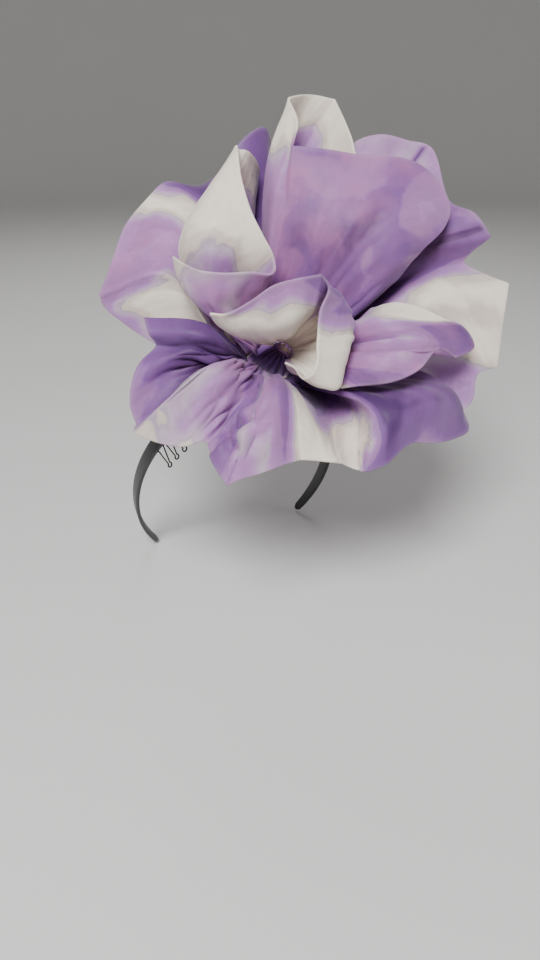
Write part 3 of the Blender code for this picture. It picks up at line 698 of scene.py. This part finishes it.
def spline(points, steps, corners=()):
    """Points on a centripetal curve through the given ones, which turns sharply at the corners."""
    result = []
    stops = [0, *corners, len(points) - 1]
    for low, high in zip(stops, stops[1:]):
        run = points[low:high + 1]
        guides = [run[0] * 2 - run[1], *run, run[-1] * 2 - run[-2]]
        for i in range(1, len(guides) - 2):
            p0, p1, p2, p3 = guides[i - 1:i + 3]
            t0, t1, t2 = (math.sqrt(max((b - a).length, TINY)) for a, b in ((p0, p1), (p1, p2), (p2, p3)))
            start = ((p1 - p0) / t0 - (p2 - p0) / (t0 + t1) + (p2 - p1) / t1) * t1
            finish = ((p2 - p1) / t1 - (p3 - p1) / (t1 + t2) + (p3 - p2) / t2) * t1
            for step in range(steps):
                t = step / steps
                result.append(
                    p1 * (2 * t ** 3 - 3 * t ** 2 + 1) + start * (t ** 3 - 2 * t ** 2 + t)
                    + p2 * (3 * t ** 2 - 2 * t ** 3) + finish * (t ** 3 - t ** 2))
    result.append(points[-1])
    return result


def core_frame(level):
    """Centre, two side directions and two radii of the core at a level between the band and the gather."""
    normal = BAND_NORMAL.lerp(CORE_AXIS, min(1, 2 * level)).normalized()
    right = FACING @ Vector((1, 0, 0))
    right = (right - normal * right.dot(normal)).normalized()
    up = normal.cross(right)
    dome = math.sqrt(1 - (max(0, level - CORE_DOME_START) / CORE_DOME_LENGTH) ** 2)
    radii = [(foot + (head - foot) * level) * dome for foot, head in zip(CORE_FOOT_RADII, CORE_HEAD_RADII)]
    return CORE_FOOT.lerp(GATHER_CENTRE, level), right, up, radii


def core_point(level, clock, clearance=0.0):
    """A point on the core's side, or a clearance off it."""
    centre, right, up, radii = core_frame(level)
    across = math.cos(clock) * (radii[0] + clearance)
    rise = math.sin(clock) * (radii[1] + clearance)
    return centre + right * across + up * rise


def fold_lines(sections):
    """Places of the sections that are pressed into a fold line."""
    return [place for place, section in enumerate(sections) if section.crease == FOLD_LINE]


def ruffle_grid(sections):
    """The middle surface of a ruffle in the frame of the gather: rows of points from core to rim."""
    into_gather = FACING.transposed()
    roots = []
    for section in sections:
        root = core_point(section.level, math.radians(section.clock), CORE_ROOT_CLEARANCE)
        roots.append(into_gather @ (root - GATHER_CENTRE))
    bellies = [Vector((s.belly_across, -s.belly_out, s.belly_up)) * MM for s in sections]
    rims = [Vector((s.rim_across, -s.rim_out, s.rim_up)) * MM for s in sections]
    corners = [place for place, section in enumerate(sections) if section.crease >= CORNER]
    lines = [
        spline(roots, STEPS_ALONG),
        spline(bellies, STEPS_ALONG, fold_lines(sections)),
        spline(rims, STEPS_ALONG, corners),
    ]
    return np.array([spline(line, STEPS_ACROSS) for line in zip(*lines)])


def lengths(points):
    """Length along each line of points, from its start."""
    steps = np.linalg.norm(np.diff(points, axis=-2), axis=-1)
    return np.concatenate([np.zeros_like(steps[..., :1]), np.cumsum(steps, axis=-1)], axis=-1)


def unit(vectors):
    """Vectors of length 1."""
    return vectors / np.maximum(np.linalg.norm(vectors, axis=-1, keepdims=True), TINY)


def normals_of(grid):
    """Directions square to a middle surface."""
    return unit(np.cross(np.gradient(grid, axis=0), np.gradient(grid, axis=1)))


def ripple(along, outward, seed, folds):
    """Smooth noise over the cloth, from -1 to 1, with the spacing of one kind of folds."""
    shape = np.broadcast(along, outward).shape
    places = zip(np.broadcast_to(along, shape).ravel(), np.broadcast_to(outward, shape).ravel())
    depth = seed + folds.seed
    values = [noise.noise(Vector((a / folds.along, b / folds.outward, depth))) for a, b in places]
    return np.array(values).reshape(shape)


def seams_of(name):
    """The seams in one ruffle."""
    return [seam for seam in SEAMS if seam.ruffle == name]


# A folded middle surface, the lengths along it and outwards, the swell of its long folds and its grooves
FoldedCloth = namedtuple("FoldedCloth", "grid along outward swell groove")


def fold_cloth(name, sections, cloth, seed):
    """A ruffle's middle surface with its soft folds, gathers, pressed lines, crumples and seam grooves."""
    middle = ruffle_grid(sections)
    rows, columns = middle.shape[:2]
    section = np.arange(rows)[:, None] / STEPS_ALONG
    share = np.linspace(0, 1, columns)[None, :]
    along = lengths(middle[:, columns // 2])[:, None]
    outward = lengths(middle)
    off_root = np.clip(share / ROOT_CLEAR, 0, 1)
    soft = np.clip(share / SOFT_RISE, 0, 1) * (1 - RIM_CALM * share ** 6)

    swell = ripple(along, outward, seed, LONG_FOLDS)
    lift = cloth.fold_height * soft * swell
    wide = ripple(along, outward, seed, WIDE_FOLDS)
    lift = lift + cloth.fold_height * WIDE_FOLD_HEIGHT * soft * wide
    drift = DRIFT_TURN * ripple(along, outward * DRIFT_STRETCH, seed, GATHER_DRIFT)
    gather = off_root * np.clip((GATHER_END - share) / GATHER_FADE, 0, 1) ** 1.5
    lift = lift + cloth.gather_height * gather * np.sin(2 * math.pi * along / cloth.gather_pitch + drift)
    lift = lift + cloth.crumple_height * soft * ripple(along, outward, seed, FINE_CRUMPLES)

    pressed = np.clip((share - PRESS_START) / PRESS_RISE, 0, 1)
    for place in fold_lines(sections):
        ridge = np.exp(-np.abs(section - place) / PRESS_WIDTH_IN_SECTIONS)
        lift = lift + cloth.press_height * ridge * pressed
    creases = 1 - 3 * np.abs(ripple(along, outward, seed, SHARP_CREASES))
    for spot in (spot for spot in CRUMPLES if spot.ruffle == name):
        centre = middle[int(spot.place * STEPS_ALONG), int(spot.share * (columns - 1))]
        near = np.exp(-(np.linalg.norm(middle - centre, axis=-1) / (spot.reach * MM)) ** 2)
        lift = lift + spot.height * MM * near * off_root * (creases - 0.5)
    groove = np.zeros((rows, columns))
    for seam in seams_of(name):
        near = np.exp(-((section - seam.place) / SEAM_WIDTH_IN_SECTIONS) ** 2)
        groove = groove + near * (share > seam.start) * (share < seam.finish)
    lift = lift - SEAM_DEPTH * groove
    return FoldedCloth(middle + normals_of(middle) * lift[..., None], along, outward, swell, groove)


def spread(sections, key):
    """A column of the table at every row of the cloth."""
    values = [getattr(section, key) for section in sections]
    places = np.arange((len(values) - 1) * STEPS_ALONG + 1) / STEPS_ALONG
    return np.interp(places, np.arange(len(values)), values)


def dye_field(sections):
    """The dye in the table at every point of the cloth."""
    keys = ("dye_root", "dye_belly", "dye_near", "dye_rim")
    stops = np.stack([spread(sections, key) for key in keys], axis=1)
    share = np.linspace(0, 1, 2 * STEPS_ACROSS + 1)
    return np.stack([np.interp(share, DYE_SHARES, row) for row in stops])


def cloth_mesh(name, points, faces, flat, fields):
    """A smooth closed mesh with its flat map and the numbers that its material reads."""
    mesh = bpy.data.meshes.new(name)
    mesh.from_pydata(points.tolist(), [], faces)
    bm = bmesh.new()
    bm.from_mesh(mesh)
    bmesh.ops.recalc_face_normals(bm, faces=bm.faces)
    bm.to_mesh(mesh)
    bm.free()
    corners = np.zeros(len(mesh.loops), dtype=np.int64)
    mesh.loops.foreach_get("vertex_index", corners)
    mesh.uv_layers.new(name="cloth").data.foreach_set("uv", flat[corners].astype(np.float32).ravel())
    for key, values in fields.items():
        data = mesh.attributes.new(key, "FLOAT", "POINT").data
        data.foreach_set("value", values.astype(np.float32).ravel())
    mesh.shade_smooth()
    return mesh


def shell_mesh(name, grid, half, flat, fields):
    """A closed cloth wall over a middle surface, with a round fold at the rim."""
    rows, columns = grid.shape[:2]
    normal = normals_of(grid)
    outward = unit(grid[:, -1] - grid[:, -2])
    rim = grid[:, -1]
    edge = half[:, -1, None]
    layers = [grid + normal * half[..., None]]
    source = [*range(columns)]
    for step in range(1, RIM_STEPS + 1):
        turn = math.pi * step / (RIM_STEPS + 1)
        bent = rim + normal[:, -1] * edge * math.cos(turn) + outward * edge * math.sin(turn)
        layers.append(bent[:, None])
        source.append(columns - 1)
    layers.append((grid - normal * half[..., None])[:, ::-1])
    source += range(columns - 1, -1, -1)
    ring = np.concatenate(layers, axis=1)
    count = ring.shape[1]
    i, j = np.meshgrid(np.arange(rows - 1), np.arange(count), indexing="ij")
    k = (j + 1) % count
    quads = np.stack([i * count + j, i * count + k, (i + 1) * count + k, (i + 1) * count + j], axis=-1)
    faces = quads.reshape(-1, 4).tolist()
    for start in (0, (rows - 1) * count):
        for c in range(columns - 1):
            faces.append([start + c, start + c + 1, start + count - 2 - c, start + count - 1 - c])
        faces.append([start + c for c in range(columns - 1, columns + RIM_STEPS + 1)])
    fields = {key: values[:, source] for key, values in fields.items()}
    return cloth_mesh(name, ring.reshape(-1, 3), faces, flat[:, source].reshape(-1, 2), fields)


def tube_mesh(name, grid, flat, fields):
    """A closed tube through rings of points, with its two ends fanned from their middles."""
    rings, around = grid.shape[:2]
    faces = []
    for i in range(rings - 1):
        for j in range(around):
            k = (j + 1) % around
            faces.append((i * around + j, i * around + k, (i + 1) * around + k, (i + 1) * around + j))
    points = np.concatenate([grid.reshape(-1, 3), [grid[0].mean(axis=0), grid[-1].mean(axis=0)]])
    for row, centre in ((0, rings * around), (rings - 1, rings * around + 1)):
        for j in range(around):
            faces.append((row * around + j, row * around + (j + 1) % around, centre))
    return cloth_mesh(name, points, faces, flat, fields)


def join_rings(bm, rings):
    """Faces between rings of vertices that follow each other."""
    for low, high in zip(rings, rings[1:]):
        for i in range(len(low)):
            j = (i + 1) % len(low)
            bm.faces.new((low[i], low[j], high[j], high[i]))


def smooth_mesh(name, bm, inward=False):
    """A smooth mesh with its faces turned outwards or inwards."""
    bmesh.ops.recalc_face_normals(bm, faces=bm.faces)
    if inward:
        bmesh.ops.reverse_faces(bm, faces=bm.faces)
    mesh = bpy.data.meshes.new(name)
    bm.to_mesh(mesh)
    bm.free()
    mesh.shade_smooth()
    return mesh


def gather_to_part(mesh):
    """Moves a mesh from the frame of the gather to the part's."""
    mesh.transform(Matrix.Translation(GATHER_CENTRE) @ FACING.to_4x4())


def add_object(name, data):
    """A new object in the scene."""
    item = bpy.data.objects.new(name, data)
    bpy.context.scene.collection.objects.link(item)
    return item


def place_piece(name, mesh, material, nodes):
    """Puts a finished piece on the object's one body, in place of its plain solids."""
    mesh.materials.clear()
    mesh.materials.append(material)
    piece = add_object(name, mesh)
    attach(piece, BODY)
    if nodes:
        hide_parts(*nodes)
    return piece


# Geometry nodes

def node_tree(name, inputs):
    """A geometry node tree with named inputs; gives the tree and its input and output nodes."""
    tree = bpy.data.node_groups.new(name, "GeometryNodeTree")
    tree.interface.new_socket("Geometry", in_out="INPUT", socket_type="NodeSocketGeometry")
    for label, kind, value in inputs:
        socket = tree.interface.new_socket(label, in_out="INPUT", socket_type=kind)
        if value is not None:
            socket.default_value = value
    tree.interface.new_socket("Geometry", in_out="OUTPUT", socket_type="NodeSocketGeometry")
    return tree, tree.nodes.new("NodeGroupInput"), tree.nodes.new("NodeGroupOutput")


def end_tree(tree, source, output, shape):
    """Ends a tree in plain smooth geometry with its material."""
    real = add_node(tree, "GeometryNodeRealizeInstances", None, Geometry=shape)
    smooth = add_node(tree, "GeometryNodeSetShadeSmooth", None, Geometry=real.outputs[0])
    finish = add_node(tree, "GeometryNodeSetMaterial", None, Geometry=smooth.outputs[0],
                      Material=source.outputs["Material"])
    tree.links.new(finish.outputs[0], output.inputs[0])


def run_tree(name, path, tree, values):
    """The plain mesh that a tree makes along a path."""
    modifier = path.modifiers.new("build", "NODES")
    modifier.node_group = tree
    for item in tree.interface.items_tree:
        if item.in_out == "INPUT" and item.name in values:
            modifier[item.identifier] = values[item.name]
    graph = bpy.context.evaluated_depsgraph_get()
    mesh = bpy.data.meshes.new_from_object(path.evaluated_get(graph), depsgraph=graph)
    mesh.name = name
    bpy.data.objects.remove(path, do_unlink=True)
    return mesh


def wire_tree():
    """A round wire along a path."""
    tree, source, output = node_tree("wire_along_path", [
        ("Radius", "NodeSocketFloat", 0.45 * MM),
        ("Sides", "NodeSocketInt", 12),
        ("Material", "NodeSocketMaterial", None),
    ])
    profile = add_node(tree, "GeometryNodeCurvePrimitiveCircle", None,
                       Resolution=source.outputs["Sides"], Radius=source.outputs["Radius"])
    path = add_node(tree, "GeometryNodeMeshToCurve", None, Mesh=source.outputs["Geometry"])
    sweep = add_node(tree, "GeometryNodeCurveToMesh", None, Curve=path.outputs[0])
    feed(tree, sweep.inputs["Profile Curve"], profile.outputs[0])
    feed(tree, sweep.inputs["Fill Caps"], True)
    end_tree(tree, source, output, sweep.outputs[0])
    return tree


def stitch_tree():
    """Small thread stitches laid end to end along a path."""
    tree, source, output = node_tree("stitches_along_path", [
        ("Pitch", "NodeSocketFloat", 2.6 * MM),
        ("Stitch", "NodeSocketFloat", 1.8 * MM),
        ("Thread", "NodeSocketFloat", 0.22 * MM),
        ("Material", "NodeSocketMaterial", None),
    ])
    path = add_node(tree, "GeometryNodeMeshToCurve", None, Mesh=source.outputs["Geometry"])
    points = add_node(tree, "GeometryNodeCurveToPoints", {"mode": "LENGTH"}, Curve=path.outputs[0],
                      Length=source.outputs["Pitch"])
    bead = add_node(tree, "GeometryNodeMeshUVSphere", None, Segments=8, Rings=6, Radius=0.5)
    size = add_node(tree, "ShaderNodeCombineXYZ", None, X=source.outputs["Thread"],
                    Y=source.outputs["Thread"], Z=source.outputs["Stitch"])
    stitches = add_node(tree, "GeometryNodeInstanceOnPoints", None, Points=points.outputs["Points"],
                        Instance=bead.outputs["Mesh"], Rotation=points.outputs["Rotation"],
                        Scale=size.outputs[0])
    end_tree(tree, source, output, stitches.outputs[0])
    return tree


def path_object(name, lines):
    """An object of edges along one or more lines of points."""
    points = []
    edges = []
    for line in lines:
        start = len(points)
        points += [tuple(point) for point in line]
        edges += [(start + i, start + i + 1) for i in range(len(line) - 1)]
    mesh = bpy.data.meshes.new(name)
    mesh.from_pydata(points, edges, [])
    return add_object(name, mesh)


# Operators

class RUFFLE_OT_cloth(bpy.types.Operator):
    """Builds the six cloth ruffles and the stitches of their seams"""
    bl_idname = "ruffle.cloth"
    bl_label = "Ruffles"

    def execute(self, context):
        cloth = context.scene.ruffle_cloth
        seam_lines = []
        for order, (name, table) in enumerate(RUFFLES.items(), start=1):
            sections = [Section(*row) for row in table]
            seam_lines += self.make_ruffle(name, sections, cloth, order)
        self.stitch(seam_lines)
        return {"FINISHED"}

    def make_ruffle(self, name, sections, cloth, order):
        """Makes one ruffle, and gives the lines of its seams on both sides of the cloth."""
        folded = fold_cloth(name, sections, cloth, order * SEED_STEP)
        grid = folded.grid
        columns = grid.shape[1]
        share = np.linspace(0, 1, columns)[None, :]
        roll = np.exp(-((folded.outward[:, -1:] - folded.outward) / RIM_ROLL_REACH) ** 2)
        half = (cloth.thickness + (cloth.rim_roll - cloth.thickness) * roll) / 2
        half = half * np.clip(ROOT_THICKNESS + ROOT_GROWTH * share, 0, 1)
        flat = np.stack([np.broadcast_to(folded.along, folded.outward.shape), folded.outward], axis=-1)
        mesh = shell_mesh(name + "_cloth", grid, half, flat, {
            # The table's dye, deepened in the fold hollows as painted shade and darker along the seams.
            "dye": dye_field(sections) - cloth.painted_hollow_shade * folded.swell + SEAM_DYE * folded.groove,
            "blush": np.repeat(spread(sections, "blush")[:, None], columns, axis=1),
            "edge": roll,
        })
        gather_to_part(mesh)
        material = cloth_material(name + "_dyed", cloth, order)
        piece = place_piece(name + "_cloth", mesh, material, [name])
        return self.seam_lines(name, grid, half)

    def seam_lines(self, name, grid, half):
        """Lines along a ruffle's seams, on both sides of the cloth."""
        normal = normals_of(grid)
        last = grid.shape[1] - 1
        lines = []
        for seam in seams_of(name):
            row = int(round(seam.place * STEPS_ALONG))
            run = slice(int(seam.start * last), int(seam.finish * last))
            for side in (1, -1):
                lines.append(grid[row, run] + side * normal[row, run] * half[row, run, None])
        return lines

    def stitch(self, seam_lines):
        """Lays the stitches along the seams."""
        thread = thread_material("seam_thread", THREAD_COLOUR)
        path = path_object("seam_path", seam_lines)
        mesh = run_tree("seam_stitches", path, stitch_tree(), {"Material": thread})
        gather_to_part(mesh)
        place_piece("seam_stitches", mesh, thread, [])


class RUFFLE_OT_core(bpy.types.Operator):
    """Builds the bound bundle of gathered cloth behind the ruffle's middle"""
    bl_idname = "ruffle.core"
    bl_label = "Gathered core"

    rings = 44
    around = 168

    # Pleats, how deep they are at the band and how they deepen, and how they twist and sway
    pleats = 14
    pleat_depth = 0.9 * MM
    pleat_foot = 0.35
    pleat_growth = 1.5
    twist = 9.0
    sway = 0.8

    # Level, reach and depth of the binding; level and reach of the dye, its middle strength and the side
    # that it leaves ivory
    bind_level = 0.42
    bind_reach = 0.10
    bind_depth = 0.7 * MM
    dye_level = 0.5
    dye_reach = 0.2
    dye_middle = 0.55
    ivory_clock = math.radians(50)

    # Steps between points on the flat cloth, and the number that places its patterns
    flat_steps = (0.5 * MM, 0.8 * MM)
    seed = 9

    def execute(self, context):
        cloth = context.scene.ruffle_cloth
        grid = np.array([
            [self.pleated_point(ring / self.rings, 2 * math.pi * step / self.around)
             for step in range(self.around)]
            for ring in range(self.rings + 1)])
        mesh = tube_mesh("gathered_core_cloth", grid, self.flat_map(), self.dye_fields())
        material = cloth_material("core_dyed", cloth, self.seed)
        place_piece("gathered_core_cloth", mesh, material, ["gathered_core"])
        return {"FINISHED"}

    def pleated_point(self, level, clock):
        """A point of the core, pulled in between its pleats and where it is bound."""
        wave = math.sin(self.pleats * clock + self.twist * level ** 3 + self.sway * math.sin(3 * clock))
        bind = math.exp(-((level - self.bind_level) / self.bind_reach) ** 2)
        pleat = self.pleat_depth * (wave - 1) * (self.pleat_foot + self.pleat_growth * level ** 2)
        return core_point(level, clock, pleat - self.bind_depth * bind)

    def flat_map(self):
        """Places on the flat cloth; the two end middles stay at its corner."""
        flat = np.zeros(((self.rings + 1) * self.around + 2, 2))
        flat[:-2, 0] = np.tile(np.arange(self.around) * self.flat_steps[0], self.rings + 1)
        flat[:-2, 1] = np.repeat(np.arange(self.rings + 1) * self.flat_steps[1], self.around)
        return flat

    def dye_fields(self):
        """Dye that is ivory at the band and on one side of the gather."""
        turns = np.arange(self.around) * 2 * math.pi / self.around
        clock = np.append(np.tile(turns, self.rings + 1), (0, 0))
        level = np.append(np.repeat(np.linspace(0, 1, self.rings + 1), self.around), (0, 1))
        side = self.dye_middle - self.dye_middle * np.cos(clock - self.ivory_clock)
        dye = side * np.clip((level - self.dye_level) / self.dye_reach, 0, 1)
        return {"dye": dye, "blush": 0 * dye, "edge": 0 * dye}


def band_point(angle, across=0.0, lift=0.0):
    """A point of the band at an angle from the crown, across its width and above its inner face."""
    normal = Vector((math.sin(angle) / BAND_HALF_SPAN, 0, math.cos(angle) / BAND_DROP)).normalized()
    point = Vector((BAND_HALF_SPAN * math.sin(angle), across, BAND_DROP * (math.cos(angle) - 1)))
    return point + normal * lift


class RUFFLE_OT_band(bpy.types.Operator):
    """Builds the slim black band"""
    bl_idname = "ruffle.band"
    bl_label = "Band"

    steps = 160
    corner_steps = 4
    tip_start = 0.985
    tip_narrowing = 0.75

    def execute(self, context):
        band = context.scene.ruffle_band
        bm = bmesh.new()
        rings = []
        for step in range(self.steps + 1):
            share = 2 * step / self.steps - 1
            outline = self.profile(self.width_at(share), band.edge_radius)
            rings.append([bm.verts.new(band_point(BAND_END_ANGLE * share, *place)) for place in outline])
        join_rings(bm, rings)
        for ring in (rings[0], rings[-1]):
            bm.faces.new(ring)
        mesh = smooth_mesh("headband_moulded", bm)
        mesh.transform(Matrix.Rotation(BAND_LEAN, 4, "X"))
        material = band_material("band_plastic", band.colour)
        place_piece("headband_moulded", mesh, material, ["headband"])
        return {"FINISHED"}

    def width_at(self, share):
        """The band's width, which narrows towards its tips and is rounded there."""
        width = BAND_WIDTH + (BAND_TIP_WIDTH - BAND_WIDTH) * share ** 4
        tip = max(0.0, (abs(share) - self.tip_start) / (1 - self.tip_start))
        return width * math.sqrt(1 - self.tip_narrowing * tip ** 2)

    def profile(self, width, radius):
        """Points round the band's rounded section: across and lift."""
        radius = min(radius, BAND_THICKNESS / 2)
        points = []
        for side, top, start in ((1, 1, 0), (-1, 1, 90), (-1, -1, 180), (1, -1, 270)):
            for step in range(self.corner_steps + 1):
                turn = math.radians(start + 90 * step / self.corner_steps)
                across = side * (width / 2 - radius) + radius * math.cos(turn)
                lift = BAND_THICKNESS / 2 + top * (BAND_THICKNESS / 2 - radius) + radius * math.sin(turn)
                points.append((across, lift))
        return points


class RUFFLE_OT_comb(bpy.types.Operator):
    """Builds the bent wire comb on the front edge of the band"""
    bl_idname = "ruffle.comb"
    bl_label = "Wire comb"

    # First tooth's angle from the crown, the opening of an eye, the bend at a foot, half the space between
    # a tooth's legs as a share of the pitch, and the way the teeth point
    first_angle = math.radians(-53)
    neck = 1.5 * MM
    eye_steps = 20
    bend = 0.8 * MM
    bend_steps = 4
    leg_spread = 0.34
    reach = Vector((0.12, -1.0, -0.04)).normalized()

    def execute(self, context):
        comb = context.scene.ruffle_comb
        arc = comb.pitch / math.hypot(
            BAND_HALF_SPAN * math.cos(self.first_angle), BAND_DROP * math.sin(self.first_angle))
        line = []
        for tooth in range(comb.teeth):
            line += self.tooth(comb, self.first_angle + arc * tooth, arc * self.leg_spread)
        wire = wire_material("comb_lacquer", comb.colour)
        path = path_object("comb_path", [line])
        values = {"Radius": comb.wire_radius, "Material": wire}
        mesh = run_tree("side_comb_wire", path, wire_tree(), values)
        mesh.transform(Matrix.Rotation(BAND_LEAN, 4, "X"))
        place_piece("side_comb_wire", mesh, wire, ["side_comb"])
        return {"FINISHED"}

    def tooth(self, comb, angle, reach_aside):
        """Points of one tooth: out along a leg, round the eye and back along the other leg."""
        front = -(BAND_WIDTH / 2 + comb.wire_radius + SEAT_GAP)
        near = band_point(angle - reach_aside, front, BAND_THICKNESS / 2)
        far = band_point(angle + reach_aside, front, BAND_THICKNESS / 2)
        along = (far - near).normalized()
        side = (along - self.reach * along.dot(self.reach)).normalized()
        eye = (near + far) / 2 + self.reach * comb.tooth_length
        half_open = math.asin(self.neck / 2 / comb.eye_radius)
        points = self.rounded_foot(near, -along)
        for step in range(self.eye_steps + 1):
            turn = half_open + (2 * math.pi - 2 * half_open) * step / self.eye_steps
            down = self.reach * comb.eye_radius * math.cos(turn)
            points.append(eye - down - side * comb.eye_radius * math.sin(turn))
        return points + self.rounded_foot(far, along)[::-1]

    def rounded_foot(self, foot, along):
        """A small round bend where a leg meets the run along the band."""
        start = foot + along * self.bend
        finish = foot + self.reach * self.bend
        shares = [step / self.bend_steps for step in range(self.bend_steps + 1)]
        return [start * (1 - t) ** 2 + foot * 2 * t * (1 - t) + finish * t ** 2 for t in shares]


class RUFFLE_OT_stage(bpy.types.Operator):
    """Sets the floor, the lights and the camera"""
    bl_idname = "ruffle.stage"
    bl_label = "Stage"

    # Floor and backdrop, in metres
    floor_gap = 1.0 * MM
    floor_radius = 2.0
    curve_radius = 1.2
    curve_steps = 12
    wall_height = 3.5
    floor_sides = 96

    # Place and width of each lamp, what they face, and the back light's power as a share of the fill's
    key_lamp = ((-0.55, -0.75, 1.05), 0.6)
    fill_lamp = ((0.95, -0.45, 0.35), 0.9)
    back_lamp = ((0.25, 0.95, 0.85), 0.6)
    light_target = Vector((0.01, -0.02, 0.03))
    back_share = 1.2

    # Camera, with its turns in degrees, and its lens and sensor in millimetres
    camera_place = (-0.1394, -0.3616, 0.1518)
    camera_turn = (61.0, 0.0, -23.0)
    lens = 25.69
    sensor = 36.0
    clip_start = 0.01

    def execute(self, context):
        stage = context.scene.ruffle_stage
        self.sweep(tuple(stage.floor_colour), CAD_BOX[0][2] - self.floor_gap)
        self.soft_sky(context.scene, stage.sky)
        self.soft_light("key_light", *self.key_lamp, stage.key_power)
        self.soft_light("fill_light", *self.fill_lamp, stage.fill_power)
        self.soft_light("back_light", *self.back_lamp, stage.fill_power * self.back_share)
        self.camera(context.scene)
        return {"FINISHED"}

    def soft_sky(self, scene, strength):
        """Even white light from all round."""
        world = scene.world or bpy.data.worlds.new("sky")
        scene.world = world
        world.use_nodes = True
        sky = world.node_tree.nodes["Background"]
        sky.inputs["Color"].default_value = (1.0, 1.0, 1.0, 1)
        sky.inputs["Strength"].default_value = strength

    def soft_light(self, name, place, width, power):
        """A round lamp that faces the ruffle."""
        data = bpy.data.lights.new(name, "AREA")
        data.energy = power
        data.shape = "DISK"
        data.size = width
        light = add_object(name, data)
        light.location = place
        light.rotation_euler = (self.light_target - Vector(place)).to_track_quat("-Z", "Y").to_euler()

    def camera(self, scene):
        """The camera, at the angle from which the ruffle is seen best."""
        data = bpy.data.cameras.new("view")
        data.lens = self.lens
        data.sensor_fit = "AUTO"
        data.sensor_width = self.sensor
        data.clip_start = self.clip_start
        camera = add_object("view", data)
        camera.location = self.camera_place
        camera.rotation_euler = [math.radians(turn) for turn in self.camera_turn]
        scene.camera = camera

    def sweep(self, paint, level):
        """A pale floor that curves up into a backdrop on every side."""
        outline = [(self.floor_radius, 0.0)]
        for step in range(1, self.curve_steps + 1):
            turn = math.radians(90 * step / self.curve_steps)
            outline.append((self.floor_radius + self.curve_radius * math.sin(turn),
                            self.curve_radius * (1 - math.cos(turn))))
        outline.append((self.floor_radius + self.curve_radius, self.wall_height))
        turns = [2 * math.pi * i / self.floor_sides for i in range(self.floor_sides)]
        bm = bmesh.new()
        rings = [
            [bm.verts.new((radius * math.cos(turn), radius * math.sin(turn), level + height))
             for turn in turns]
            for radius, height in outline]
        bm.faces.new(rings[0])
        join_rings(bm, rings)
        mesh = smooth_mesh("floor", bm, inward=True)
        mesh.materials.append(floor_material("pale_floor", paint))
        add_object("floor", mesh)


class RUFFLE_PT_panel(bpy.types.Panel):
    """Lists the pieces of the headband"""
    bl_idname = "RUFFLE_PT_panel"
    bl_label = "Ruffle headband"
    bl_space_type = "VIEW_3D"
    bl_region_type = "UI"
    bl_category = "Ruffle"

    def draw(self, context):
        for operator in OPERATORS:
            self.layout.operator(operator.bl_idname)


SETTINGS = {
    "ruffle_cloth": RuffleCloth,
    "ruffle_band": RuffleBand,
    "ruffle_comb": RuffleComb,
    "ruffle_stage": RuffleStage,
}
OPERATORS = (RUFFLE_OT_cloth, RUFFLE_OT_core, RUFFLE_OT_band, RUFFLE_OT_comb, RUFFLE_OT_stage)


def register():
    """Adds the settings, the operators and the panel."""
    for item in (*SETTINGS.values(), *OPERATORS, RUFFLE_PT_panel):
        bpy.utils.register_class(item)
    for name, settings in SETTINGS.items():
        setattr(bpy.types.Scene, name, bpy.props.PointerProperty(type=settings))


def unregister():
    """Takes them away again."""
    for name in SETTINGS:
        delattr(bpy.types.Scene, name)
    for item in (RUFFLE_PT_panel, *reversed(OPERATORS), *reversed(tuple(SETTINGS.values()))):
        bpy.utils.unregister_class(item)


def main():
    """Builds every piece and the stage."""
    register()
    bpy.ops.ruffle.core()
    bpy.ops.ruffle.cloth()
    bpy.ops.ruffle.band()
    bpy.ops.ruffle.comb()
    bpy.ops.ruffle.stage()


if __name__ == "__main__":
    main()
